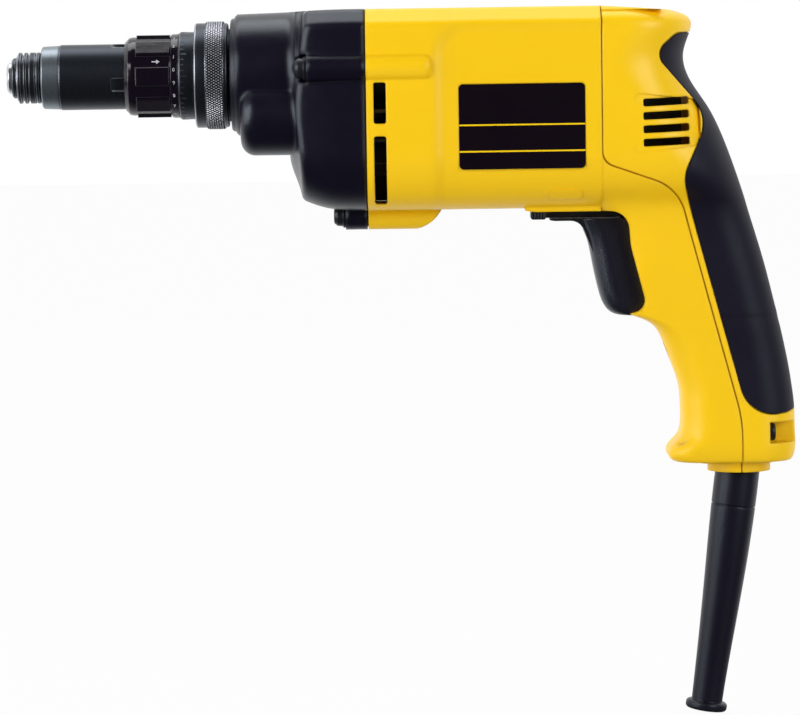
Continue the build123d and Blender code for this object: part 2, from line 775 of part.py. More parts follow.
def intermediate_front_bush():
    return tube(MIDDLE_FRONT - 0.2, MIDDLE_FRONT + 2.6, 5.0, MIDDLE_JOURNAL_R + RUNNING, at=MIDDLE)


def intermediate_rear_bush():
    return tube(MIDDLE_END - 6.0, MIDDLE_END + 0.5, 4.2, MIDDLE_JOURNAL_R + RUNNING, at=MIDDLE)


# Gear case
def joint_groove():
    core = body_section(JOINT_GROOVE)
    for place in BOSSES:
        core += disc(BOSS_R - JOINT_GROOVE, place)
    ring = Pos(0, MOTOR[1]) * Rectangle(140.0, 140.0) - core
    return prism(ring, *about(CASE_END, JOINT_GAP / 2))


def case_front():
    barrel = turned([
        (BARREL_FRONT, 0.0), (BARREL_FRONT, BARREL_R - 1.0), (BARREL_FRONT + 1.0, BARREL_R),
        (BARREL_END, BARREL_R + 0.8), (BARREL_END, 0.0)])
    bump = tube(BUMP_FRONT, BARREL_END, BUMP_R, at=MIDDLE)
    bump = fillet(bump.faces().sort_by(Axis.X)[0].edges(), BUMP_ROUND)
    neck = turned([
        (JOURNAL_FRONT, 0.0), (JOURNAL_FRONT, JOURNAL_R), (RING_END, JOURNAL_R), (RING_END, NECK_R),
        (LIP_FRONT, NECK_R), (LIP_FRONT, LIP_R - 0.6), (LIP_FRONT + 0.6, LIP_R), (BARREL_FRONT, LIP_R),
        (BARREL_FRONT, 0.0)])
    return barrel + bump + neck


def case_bores():
    spindle_bay = tube(MIDDLE_FRONT, BARREL_END, 22.0)
    middle_bay = tube(MIDDLE_FRONT + 2.6, BARREL_END, 12.4, at=MIDDLE)
    bush_seat = tube(MIDDLE_FRONT - 0.2, MIDDLE_FRONT + 3.0, 5.0, at=MIDDLE)
    sleeve_thread = tube(JOURNAL_FRONT - 1.0, SLEEVE_END + 0.5, THREAD_R + 0.1)
    clutch_bay = tube(SLEEVE_END + 0.4, MIDDLE_FRONT + 0.5, 15.0)
    clip_groove = tube(*CLIP_X, JOURNAL_R + 1.0, JOURNAL_R - CLIP_DEEP)
    return spindle_bay + middle_bay + bush_seat + sleeve_thread + clutch_bay + clip_groove


def gear_case():
    body = shoulder() + case_front() + shoulder_fillet()
    bosses = Part()
    for place, front in zip(BOSSES, BOSS_FRONTS):
        bosses += tube(front, CASE_END, BOSS_R, at=place)
    body += bosses
    cavity = case_form(WALL + 0.2) & shoulder_dome(WALL + 0.6)
    body -= cavity - bosses
    body -= case_bores()
    for place, front in zip(BOSSES, BOSS_FRONTS):
        body -= tube(front - 12.0, front, BOSS_R + 0.1, at=place)
        body -= tube(front - 1.0, CASE_END + 1.0, SCREW_R + 0.1, at=place)
    return body - joint_groove()


def gear_case_screws():
    screws = []
    for place, front in zip(BOSSES, BOSS_FRONTS):
        screw = tube(front, SCREW_END, SCREW_R, at=place)
        head = turned([
            (front, 0.0), (front, 4.9), (front - 1.0, 4.9), (front - 1.3, 4.3), (front - 3.4, 4.1),
            (front - 4.6, 3.2), (front - 4.9, 2.4), (front - 4.9, 0.0)], at=place)
        key = Pos(*place) * RegularPolygon(1.9, 6)
        screws.append(screw + head - prism(key, front - 5.0, front - 2.0))
    return Compound(children=screws)


def bearing_plate():
    front, back = PLATE
    body = case_form(WALL + 0.6) & block(PLATE, (-FAR, FAR), (-80.0, FAR))
    for place in BOSSES:
        body -= tube(front - 1, back + 1, BOSS_R + 0.3, at=place)
    body += tube(SPINDLE_END - 7.2, front + 0.5, 7.6)
    body -= tube(SPINDLE_END - 8.0, SPINDLE_END + 1.0, 5.4)
    body -= tube(SPINDLE_END - 9.0, front + 0.6, TAIL_R + 0.5)
    body -= tube(front - 1, back + 1, 5.6, at=MOTOR)
    body -= tube(FRONT_BEARING[0], back + 1, BEARING_R, at=MOTOR)
    return body - tube(front - 0.1, MIDDLE_END + 0.5, 4.2, at=MIDDLE)


# Motor
def armature_shaft():
    pinion = Pos(*MOTOR) * gear_face(FAST_PINION, FAST_MODULE, direction(MOTOR, MIDDLE))
    pinion_x = (FAST_STAGE[0] - 2.5, FAST_STAGE[1] + 2.0)
    front_step, rear_step = FRONT_BEARING[1] + 1.0, COMMUTATOR_X[1] + 2.5
    end = REAR_BEARING[1] - 0.2
    journal = BEARING_BORE - RUNNING
    body = prism(pinion, *pinion_x)
    return body + turned([
        (pinion_x[1], 0.0), (pinion_x[1], journal), (front_step, journal), (front_step, ARMATURE_SHAFT_R),
        (rear_step, ARMATURE_SHAFT_R), (rear_step, journal), (end, journal), (end, 0.0)], at=MOTOR)


def ball_bearing(start, end):
    shield = (BEARING_BORE + BEARING_R) / 2
    low, high = shield - 1.5, shield + 1.5
    return turned([
        (start, BEARING_BORE), (start, low), (start + 0.5, low), (start + 0.5, high), (start, high),
        (start, BEARING_R), (end, BEARING_R), (end, high), (end - 0.5, high), (end - 0.5, low), (end, low),
        (end, BEARING_BORE)], at=MOTOR)


def front_bearing():
    return ball_bearing(*FRONT_BEARING)


def rear_bearing():
    return ball_bearing(*REAR_BEARING)


def cooling_fan():
    front, back = FAN_X
    disc_front = back - FAN_DISC
    body = tube(disc_front, back, FAN_R, ARMATURE_SHAFT_R, at=MOTOR)
    body += tube(front, disc_front, FAN_HUB_R, ARMATURE_SHAFT_R, at=MOTOR)
    blade = block((front + 2.0, disc_front + 0.2), (FAN_HUB_R - 1.0, FAN_R - 0.4), (-0.7, 0.7))
    for blade in ring_of(FAN_BLADES, blade):
        body += Pos(0, *MOTOR) * blade
    return body


def air_baffle():
    ring = body_section(WALL + 0.1) - disc(BAFFLE_BORE_R, MOTOR)
    for place in BOSSES:
        ring -= disc(BOSS_R + 0.3, place)
    body = prism(ring, *BAFFLE_X)
    vane_x = (FAN_X[0] + 2.5, BAFFLE_X[0] + 0.5)
    vane_top = MOTOR[1] - math.sqrt((FAN_R + 0.6) ** 2 - VANE_Y[0] ** 2)
    vane = block(vane_x, VANE_Y, (BODY_BOTTOM, vane_top)) & prism(body_section(WALL + 0.2), *vane_x)
    return body + vane


def armature_core():
    face = Circle(ARMATURE_R) - Circle(ARMATURE_SHAFT_R)
    slot = Pos((ARMATURE_R + 1 + SLOT_FLOOR_R) / 2, 0) * Rectangle(ARMATURE_R + 1 - SLOT_FLOOR_R, 2.4)
    for number in range(ARMATURE_SLOTS):
        face -= Rot(0, 0, 360 / ARMATURE_SLOTS * number) * slot
    return prism(Pos(*MOTOR) * face, CORE_START, CORE_END)


def armature_windings():
    body = Part()
    for start, end in [(WINDING_X[0], CORE_START), (CORE_END, WINDING_X[1])]:
        ring = tube(start, end, WINDING_R, ARMATURE_SHAFT_R + 1.0, at=MOTOR)
        rims = ring.edges().filter_by(GeomType.CIRCLE).filter_by(lambda e: e.radius > WINDING_R - 1)
        body += fillet(rims, 2.5)
    bars = Sketch()
    for number in range(ARMATURE_SLOTS):
        bars += Rot(0, 0, 360 / ARMATURE_SLOTS * number) * Pos(SLOT_FLOOR_R + 2.6, 0) * Rectangle(4.8, 2.2)
    return body + prism(Pos(*MOTOR) * bars, CORE_START - 3.5, CORE_END + 3.5)


def commutator():
    face = Circle(COMMUTATOR_R) - Circle(ARMATURE_SHAFT_R)
    for number in range(COMMUTATOR_BARS):
        face -= Rot(0, 0, 360 / COMMUTATOR_BARS * number) * Pos(COMMUTATOR_R - 0.6, 0) * Rectangle(1.6, 0.5)
    start, end = COMMUTATOR_X
    riser = tube(start - 2.0, start, COMMUTATOR_R + 1.4, ARMATURE_SHAFT_R, at=MOTOR)
    return prism(Pos(*MOTOR) * face, start, end) + riser


def stator_core():
    face = Circle(STATOR_R) - Circle(POLE_R)
    for first in (-SLOT_HALF, 180 - SLOT_HALF):
        face -= sector(POLE_R - 1, COIL_R, first, first + 2 * SLOT_HALF)
    return prism(Pos(*MOTOR) * face, CORE_START - 2, CORE_END + 2)


def field_coils():
    inner, outer = POLE_R + 0.9, COIL_R - 0.4
    around = prism(Pos(*MOTOR) * sector(inner, outer, 3, 177), *COIL_X)
    pole = sector(inner - 2, outer + 2, SLOT_HALF - 2, 182 - SLOT_HALF)
    upper = around - prism(Pos(*MOTOR) * pole, CORE_START - 2.4, CORE_END + 2.4)
    lower = Pos(0, 0, 2 * MOTOR[1]) * mirror(upper, Plane.XY)
    return Compound(children=[upper, lower])


def carbon_brushes():
    brush = block(BRUSH_X, BRUSH_Y, BRUSH_Z)
    return pair(brush - tube(*COMMUTATOR_X, COMMUTATOR_R + 0.05, at=MOTOR))


def brush_holders():
    slide = [(low - 0.1, high + 0.1) for low, high in (BRUSH_X, BRUSH_Z)]
    box = [(low - HOLDER_WALL, high + HOLDER_WALL) for low, high in (BRUSH_X, BRUSH_Z)]
    holder = block(box[0], HOLDER_Y, box[1])
    return pair(holder - block(slide[0], (HOLDER_Y[0] - 3.0, HOLDER_Y[1] - 1.0), slide[1]))


def brush_springs():
    spring = Rot(0, 0, 90) * coil(BRUSH_Y[1] + 0.1, HOLDER_Y[1] - 1.1, 2.2, 0.3, 5)
    return pair(Pos(sum(BRUSH_X) / 2, 0, MOTOR[1]) * spring)


def end_bracket():
    body = tube(BRACKET_FRONT, COVER_FRONT, BRACKET_R, at=MOTOR)
    body += tube(COVER_FRONT, BRACKET_END, BRACKET_HUB_R, at=MOTOR)
    holder_back = BRUSH_X[1] + HOLDER_WALL
    body += both_sides(block((holder_back, BRACKET_FRONT + 1.5), (13.5, 22.5), about(MOTOR[1], 5.0)))
    body += block((BRACKET_END - 1.0, BRACKET_WEB_END), (-1.5, 1.5), BRACKET_WEB_Z)
    body -= tube(holder_back - 3.0, REAR_BEARING[0] + 0.5, BEARING_R, at=MOTOR)
    body -= tube(REAR_BEARING[0], REAR_BEARING[1], BEARING_R, at=MOTOR)
    for number in range(4):
        y, z = polar(18.0, math.radians(45 + 90 * number))
        body -= tube(BRACKET_FRONT - 0.5, COVER_FRONT + 1.0, 4.4, at=(y, MOTOR[1] + z))
    return body


# Motor housing, rear cover and grip
def label_plate(thick, shrink=0.0):
    x = (LABEL_X[0] + shrink, LABEL_X[1] - shrink)
    z = (LABEL_Z[0] + shrink, LABEL_Z[1] - shrink)
    return extrude(Plane.XZ.offset(BODY_HALF - LABEL_DEEP) * plate(x, z, 1.7), amount=thick)


def front_screw_place():
    return Pos(FRONT_SCREW[0], 0, FRONT_SCREW[1]) * Rot(0, FRONT_SCREW_RISE, 0)


def screw_posts():
    low = along_x(284.0, LOW_SCREW[0], SCREW_POST_R)
    low += block((LOW_SCREW[0] - 3.0, 330.0), (-7.0, 40.0), (-LOW_POCKET_R - 2.5, LOW_POCKET_R + 2.5))
    posts = both_sides(Pos(0, LOW_SCREW_Y, LOW_SCREW[1]) * low)
    posts += front_screw_place() * along_x(-4.0, 60.0, FRONT_POST_R)
    posts += block((COVER_FRONT, 262.0), (-7.0, 7.0), (12.0, 30.0))
    return posts & handle_form(0.5)


def handle_shell():
    body = (handle_form() & behind_cover_front()) + cover_roof()
    body += upright(CORD_X, OUTLET_END, OUTLET_TOP, OUTLET_R)
    body -= handle_form(WALL, hollow=True)
    body += screw_posts()
    body -= block(*TOP_POCKET)
    body -= upright(CORD_X, OUTLET_END - 1.0, OUTLET_END + GUARD_SOCKET_DEEP, GUARD_SOCKET_R)
    return body - upright(CORD_X, OUTLET_END - 1.0, GUARD_NECK_TOP + 0.5, GUARD_NECK_R)


def cover_screw_holes():
    holes = front_screw_place() * (along_x(-8.0, 0.8, 4.0) + along_x(0.0, 26.0, THREAD_HOLE_R))
    low = along_x(286.0, LOW_SCREW[0] + 1, THREAD_HOLE_R)
    low += block((LOW_SCREW[0], 330.0), (-LOW_POCKET_R, 30.0), (-LOW_POCKET_R, LOW_POCKET_R))
    holes += both_sides(Pos(0, LOW_SCREW_Y, LOW_SCREW[1]) * low)
    return holes + top_screw_hole()


def top_screw_hole():
    return Pos(0, 0, TOP_SCREW[1]) * along_x(228.0, TOP_SCREW[0] + 1, THREAD_HOLE_R)


def cover_screws():
    head = along_x(-HEAD_TALL, 0.0, HEAD_R)
    head = fillet(head.faces().sort_by(Axis.X)[0].edges(), 1.2)
    screw = head + along_x(0.0, COVER_SCREW_LONG, THREAD_HOLE_R)
    screw -= prism(RegularPolygon(1.7, 6), -HEAD_TALL - 0.2, -1.2)
    front = front_screw_place() * Pos(0.8, 0, 0) * screw
    low = Pos(LOW_SCREW[0], LOW_SCREW_Y, LOW_SCREW[1]) * Rot(0, 180, 0) * screw
    top = Pos(TOP_SCREW[0], 0, TOP_SCREW[1]) * Rot(0, 180, 0) * screw
    return Compound(children=[front, top, low, mirror(low, Plane.XZ)])


def housing_bosses():
    bosses = Part()
    for place in BOSSES[:2]:
        boss = tube(CASE_END, BOSS_END, BOSS_R, at=place)
        bosses += fillet(boss.faces().sort_by(Axis.X)[-1].edges(), 3.0)
    low, roof = BOSS_LOW_Z - BOSS_R, BODY_BOTTOM + 4.0
    ramp = make_face([
        Line((CASE_END, roof), (CASE_END, low)), Line((CASE_END, low), (BOSS_LOW_FLAT, low)),
        ThreePointArc((BOSS_LOW_FLAT, low), (BOSS_LOW_FLAT + 5.6, low + 2.7), (BOSS_LOW_END, BODY_BOTTOM)),
        Line((BOSS_LOW_END, BODY_BOTTOM), (BOSS_LOW_END, roof)),
        Line((BOSS_LOW_END, roof), (CASE_END, roof))])
    return bosses + (tube(CASE_END, BOSS_LOW_END + 1, BOSS_R, at=BOSSES[2]) & slab(ramp, FAR))


def housing_ribs():
    length = (CORE_START, CORE_END)
    ribs = block(length, (-5.0, 5.0), (BODY_BOTTOM + 2.0, BODY_TOP - 2.0))
    ribs += block(length, (2.0 - BODY_HALF, BODY_HALF - 2.0), about(MOTOR[1], 4.0))
    return ribs - tube(CORE_START - 1, CORE_END + 1, STATOR_R, at=MOTOR)


def front_vents():
    vents = Part()
    for height in VENT_FRONT_Z:
        face = plate(VENT_FRONT_X, height, 1.0)
        vents += slab(face, FAR) - slab(face, 14.0)
    return vents


def housing_form():
    wide = body_section(half=BODY_HALF + BULGE)
    form = prism(wide, CASE_END, BULGE_END)
    form += loft([Plane.YZ.offset(BULGE_END) * wide, Plane.YZ.offset(BULGE_FADE_END) * body_section()])
    form += prism(body_section(), BULGE_FADE_END, COVER_FRONT)
    lozenge = plate(LOZENGE_X, LOZENGE_Z, (LOZENGE_Z[1] - LOZENGE_Z[0]) / 2 - 0.05)
    form += prism(body_section(-LOZENGE_RISE), *LOZENGE_X) & slab(lozenge, FAR)
    skirt = polygon(
        (208.5, -50.0), (210.5, SKIRT_BOTTOM + 0.5), (214.0, SKIRT_BOTTOM), (COVER_FRONT, SKIRT_BOTTOM),
        (COVER_FRONT, -50.0))
    return form + slab(skirt, SKIRT_HALF)


def motor_housing():
    bosses = housing_bosses()
    body = housing_form() + bosses
    body -= prism(body_section(WALL), CASE_END, COVER_FRONT - WALL) - bosses
    body += housing_ribs()
    body -= tube(COVER_FRONT - WALL - 1, COVER_FRONT + 1, BRACKET_R, at=MOTOR)
    body += block((227.0, COVER_FRONT), (-5.0, 5.0), (13.0, BODY_TOP - 1.0))
    body -= top_screw_hole()
    for place in BOSSES:
        body -= tube(CASE_END - 1, SCREW_END, SCREW_R, at=place)
    body -= front_vents()
    body -= both_sides(label_plate(2.0))
    body -= joint_groove()
    slot_half = TRIGGER_HALF + SLOT_GAP
    slot = block((230.0, SWITCH_FRONT + 2), (-slot_half, slot_half), (-100.9, SKIRT_BOTTOM - 0.2))
    handle = handle_shell() - rear_zone() - pocket_zone() - slot - cover_screw_holes()
    return body + handle


def rear_cover():
    body = handle_shell() & rear_zone()
    body -= (rear_zone() - rear_zone(JOINT_GAP)) - handle_form(JOINT_GROOVE)
    body -= grip_zone() - handle_form(GRIP_THICK)
    body -= grip_zone(GRIP_GROW) - handle_form(GRIP_LIP)
    body -= vent_scoop()
    slot = RectangleRounded(VENT_REAR_X[1] - VENT_REAR_X[0], VENT_REAR_TALL, 0.8)
    for height in VENT_REAR_Z:
        body -= slab(Pos(sum(VENT_REAR_X) / 2, height) * Rot(0, 0, 2.0) * slot, FAR)
    return body - cover_screw_holes()


def rear_grip():
    skin = handle_form() & behind_cover_front()
    return (skin & grip_zone()) - handle_form(GRIP_THICK)


def side_labels():
    return pair(label_plate(LABEL_THICK, 0.15))


# Controls
def trigger():
    sections = [
        handle_section(height, front, TRIGGER_BACK, TRIGGER_HALF, TRIGGER_FRONT_R, TRIGGER_BACK_R)
        for height, front in TRIGGER_FRONTS]
    hook_low = TRIGGER_TOP - 0.9
    hook = rounded([
        (HOOK_FRONT, TRIGGER_TOP, 0), (HOOK_FRONT, hook_low + 0.3, 0), (HOOK_FRONT + 1.9, hook_low, 0),
        (233.0, hook_low, 6), (238.0, -74.0, 0), (244.0, TRIGGER_TOP, 0)])
    body = loft(sections) + slab(hook, TRIGGER_HALF - 4.0)
    return body + Pos(0, 0, TRIGGER_Z) * along_x(TRIGGER_BACK - 1.0, PLUNGER_END, PLUNGER_R)


def trigger_spring():
    return coil(TRIGGER_BACK + 0.2, SPRING_SEAT - 0.1, 4.4, 0.35, 5, at=(0.0, TRIGGER_Z))


def switch_body():
    body = block((SWITCH_FRONT, SWITCH_BACK), (-SWITCH_HALF, SWITCH_HALF), (SWITCH_BOTTOM, SWITCH_TOP))
    body = fillet(body.edges().filter_by(Axis.Y), 1.0)
    body += upright(LEVER_PIVOT_X, SWITCH_TOP - 0.2, LEVER_TOP + 0.2, LEVER_PIVOT_R)
    bore = along_x(SWITCH_FRONT - 1, PLUNGER_END + 10.0, PLUNGER_R + 0.3)
    bore += along_x(SWITCH_FRONT - 1, SPRING_SEAT, 5.2)
    return body - Pos(0, 0, TRIGGER_Z) * bore


def reverse_lever():
    start, pivot, end = LEVER_FRONT + 3.0, LEVER_PIVOT_X, LEVER_PIVOT_X + 4.0
    arm = polygon((start, -4.0), (pivot, -4.5), (end, -2.5), (end, 2.5), (pivot, 4.5), (start, 4.0))
    body = extrude(Plane.XY.offset(LEVER_BOTTOM) * arm, amount=LEVER_TOP - LEVER_BOTTOM)
    tip_x = (LEVER_FRONT, LEVER_FRONT + LEVER_TIP_LONG)
    tip = block(tip_x, (-LEVER_TIP_HALF, LEVER_TIP_HALF), (LEVER_BOTTOM - 0.6, LEVER_TOP))
    body += fillet(tip.edges().filter_by(Axis.Y), 1.0)
    pitch = LEVER_TIP_LONG / (LEVER_RIBS + 1)
    groove_y = (LEVER_TIP_HALF - 0.5, LEVER_TIP_HALF + 1)
    for number in range(LEVER_RIBS):
        groove_x = about(tip_x[0] + pitch * (number + 1), 0.3)
        body -= both_sides(block(groove_x, groove_y, (LEVER_BOTTOM - 2.0, LEVER_TOP + 1)))
    return body - upright(LEVER_PIVOT_X, LEVER_BOTTOM - 2.0, LEVER_TOP + 1.0, LEVER_PIVOT_R + RUNNING)


# Cord guard
def guard_heading(lean):
    return Vector(-math.sin(lean), 0, -math.cos(lean))


def guard_path():
    start = Vector(CORD_X - 0.4, 0, OUTLET_END + GUARD_SINK)
    bend_start = start + guard_heading(GUARD_LEAN_TOP) * GUARD_TOP_LONG
    lean_mid = (GUARD_LEAN_TOP + GUARD_LEAN_END) / 2
    bend_end = bend_start + guard_heading(lean_mid) * GUARD_BEND_LONG
    end = bend_end + guard_heading(GUARD_LEAN_END) * GUARD_END_LONG
    return Wire([
        Line(start, bend_start),
        TangentArc(bend_start, bend_end, tangent=guard_heading(GUARD_LEAN_TOP)),
        Line(bend_end, end)])


def across(path, part):
    return Plane(path @ part, x_dir=(0, 1, 0), z_dir=path % part)


def cord_guard():
    path = guard_path()
    body = loft([across(path, part) * Circle(radius) for part, radius in GUARD_STATIONS])
    groove_floor = GUARD_STATIONS[1][1] - GUARD_GROOVE_DEEP
    groove = across(path, GUARD_GROOVE_AT) * (Circle(groove_floor + 3.0) - Circle(groove_floor))
    body -= extrude(groove, amount=GUARD_GROOVE_WIDE)
    flange = extrude(across(path, 1) * Circle(FLANGE_R), amount=-FLANGE_THICK)
    body += fillet(flange.edges(), 1.3)
    body += upright(CORD_X, OUTLET_END - 2.0, GUARD_NECK_TOP, GUARD_NECK_R - 0.1)
    body += Pos(CORD_X, 0, GUARD_RIM_Z) * Cylinder(GUARD_RIM_R, GUARD_RIM_TALL)
    body -= sweep(across(path, 0) * Circle(CORD_R), path)
    body -= extrude(across(path, 1) * Circle(CORD_MOUTH_R), amount=-CORD_MOUTH_LONG)
    return body - upright(CORD_X, OUTLET_END - 1.0, GUARD_NECK_TOP + 3.5, CORD_R)


NODES = {
    "output_spindle": output_spindle,
    "bit_ball": bit_ball,
    "sleeve_washer": sleeve_washer,
    "bit_sleeve": bit_sleeve,
    "sleeve_spring": sleeve_spring,
    "nose_sleeve": nose_sleeve,
    "nose_bush": nose_bush,
    "adjusting_collar": adjusting_collar,
    "collar_retaining_ring": collar_retaining_ring,
    "graduated_ring": graduated_ring,
    "lock_ring": lock_ring,
    "clutch_spring": clutch_spring,
    "clutch_plate": clutch_plate,
    "clutch_balls": clutch_balls,
    "spindle_gear": spindle_gear,
    "spindle_rear_bush": spindle_rear_bush,
    "intermediate_shaft": intermediate_shaft,
    "intermediate_gear": intermediate_gear,
    "intermediate_front_bush": intermediate_front_bush,
    "intermediate_rear_bush": intermediate_rear_bush,
    "gear_case": gear_case,
    "gear_case_screws": gear_case_screws,
    "bearing_plate": bearing_plate,
    "armature_shaft": armature_shaft,
    "front_bearing": front_bearing,
    "rear_bearing": rear_bearing,
    "cooling_fan": cooling_fan,
    "air_baffle": air_baffle,
    "armature_core": armature_core,
    "armature_windings": armature_windings,
    "commutator": commutator,
    "stator_core": stator_core,
    "field_coils": field_coils,
    "carbon_brushes": carbon_brushes,
    "brush_holders": brush_holders,
    "brush_springs": brush_springs,
    "end_bracket": end_bracket,
    "motor_housing": motor_housing,
    "rear_cover": rear_cover,
    "rear_grip": rear_grip,
    "side_labels": side_labels,
    "cover_screws": cover_screws,
    "trigger": trigger,
    "trigger_spring": trigger_spring,
    "switch_body": switch_body,
    "reverse_lever": reverse_lever,
    "cord_guard": cord_guard,
}

os.makedirs("parts", exist_ok=True)
for node, make in NODES.items():
    shape = make()
    print(node, len(shape.solids()), round(shape.volume, 1), shape.is_valid)
    export_step(shape, f"parts/{node}.step")
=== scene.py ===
import json
import math

import bmesh
import bpy
from mathutils import Matrix, Vector


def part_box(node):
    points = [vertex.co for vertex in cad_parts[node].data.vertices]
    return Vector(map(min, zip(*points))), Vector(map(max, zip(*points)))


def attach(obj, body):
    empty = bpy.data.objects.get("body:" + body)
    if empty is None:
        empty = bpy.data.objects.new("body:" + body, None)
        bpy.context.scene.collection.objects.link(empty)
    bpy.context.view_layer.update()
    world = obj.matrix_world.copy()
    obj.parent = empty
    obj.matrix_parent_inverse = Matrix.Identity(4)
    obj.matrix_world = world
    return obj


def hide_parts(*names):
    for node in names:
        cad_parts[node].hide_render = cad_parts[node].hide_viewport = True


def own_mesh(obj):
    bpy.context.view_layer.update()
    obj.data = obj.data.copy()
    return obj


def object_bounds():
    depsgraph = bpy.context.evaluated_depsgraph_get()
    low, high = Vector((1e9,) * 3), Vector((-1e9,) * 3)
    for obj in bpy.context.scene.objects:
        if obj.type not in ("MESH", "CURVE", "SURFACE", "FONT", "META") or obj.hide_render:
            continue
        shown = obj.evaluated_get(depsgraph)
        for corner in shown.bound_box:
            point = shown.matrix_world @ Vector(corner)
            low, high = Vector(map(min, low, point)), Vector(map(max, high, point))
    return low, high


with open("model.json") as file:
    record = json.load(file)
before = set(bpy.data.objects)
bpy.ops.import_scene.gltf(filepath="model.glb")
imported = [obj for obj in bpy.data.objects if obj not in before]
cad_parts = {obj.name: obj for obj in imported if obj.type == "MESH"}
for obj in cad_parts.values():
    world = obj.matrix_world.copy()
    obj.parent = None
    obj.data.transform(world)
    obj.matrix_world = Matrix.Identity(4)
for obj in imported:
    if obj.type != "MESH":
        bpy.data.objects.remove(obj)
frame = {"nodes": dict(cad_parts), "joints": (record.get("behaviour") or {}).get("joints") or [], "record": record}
nodes = frame["nodes"]
cad_low, cad_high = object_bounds()

# All sizes are in metres. X runs back along the spindle from the mouth of the bit socket, Z is up,
# and the camera looks at the side that faces -Y.
MM = 0.001


# Sizes of the solids that the finishes and the added pieces follow
def ring_size(node):
    """Front, end and outer radius of a piece that is turned round the spindle axis."""
    low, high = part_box(node)
    return low.x, high.x, high.y


SLEEVE_FRONT = ring_size("nose_sleeve")[0]
COLLAR_FRONT, COLLAR_END, COLLAR_RADIUS = ring_size("adjusting_collar")
RING_FRONT, _, RING_RADIUS = ring_size("graduated_ring")
LOCK_FRONT, LOCK_END, KNURL_RADIUS = ring_size("lock_ring")
HOUSING_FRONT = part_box("motor_housing")[0].x
HOUSING_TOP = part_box("motor_housing")[1].z
COVER_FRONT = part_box("rear_cover")[0].x
LABEL_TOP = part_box("side_labels")[1].z


# Node graphs
class Value:
    """One socket of a graph. Operators on it add Math nodes to that graph."""

    def __init__(self, graph, socket):
        self.graph = graph
        self.socket = socket

    def maths(self, operation, *values):
        return self.graph.add("ShaderNodeMath", {"operation": operation}, dict(enumerate(values)))

    def __add__(self, other):
        return self.maths("ADD", self, other)

    __radd__ = __add__

    def __sub__(self, other):
        return self.maths("SUBTRACT", self, other)

    def __rsub__(self, other):
        return self.maths("SUBTRACT", other, self)

    def __mul__(self, other):
        return self.maths("MULTIPLY", self, other)

    __rmul__ = __mul__

    def __truediv__(self, other):
        return self.maths("DIVIDE", self, other)

    def __rtruediv__(self, other):
        return self.maths("DIVIDE", other, self)

    def __mod__(self, other):
        return self.maths("MODULO", self, other)

    def root(self):
        return self.maths("SQRT", self)

    def at_least(self, other):
        return self.maths("MAXIMUM", self, other)

    def at_most(self, other):
        return self.maths("MINIMUM", self, other)

    def above(self, edge, soft):
        """0 below the edge, 1 above it, with a soft step between."""
        settings = {"interpolation_type": "SMOOTHSTEP"}
        sockets = {"Value": self, "From Min": edge - soft, "From Max": edge + soft}
        return self.graph.add("ShaderNodeMapRange", settings, sockets)

    def between(self, low, high, soft):
        """1 from low to high, 0 outside, with soft steps."""
        return self.above(low, soft) * (1 - self.above(high, soft))

    def spread(self, low, high):
        """Maps 0..1 to low..high."""
        return self * (high - low) + low


class Graph:
    """A node tree under construction."""

    def __init__(self, tree):
        self.tree = tree
        self.tree.nodes.clear()

    def add(self, kind, settings=None, sockets=None, out=0):
        """Adds a node: its settings are set first, then its sockets are set or linked."""
        node = self.tree.nodes.new(kind)
        for name, setting in (settings or {}).items():
            setattr(node, name, setting)
        for name, value in (sockets or {}).items():
            if isinstance(value, Value):
                self.tree.links.new(value.socket, node.inputs[name])
            else:
                node.inputs[name].default_value = value
        return Value(self, node.outputs[out] if len(node.outputs) else None)

    def parts_of(self, vector):
        return [self.add("ShaderNodeSeparateXYZ", sockets={0: vector}, out=axis) for axis in "XYZ"]

    def vector(self, x, y, z):
        return self.add("ShaderNodeCombineXYZ", sockets={"X": x, "Y": y, "Z": z})


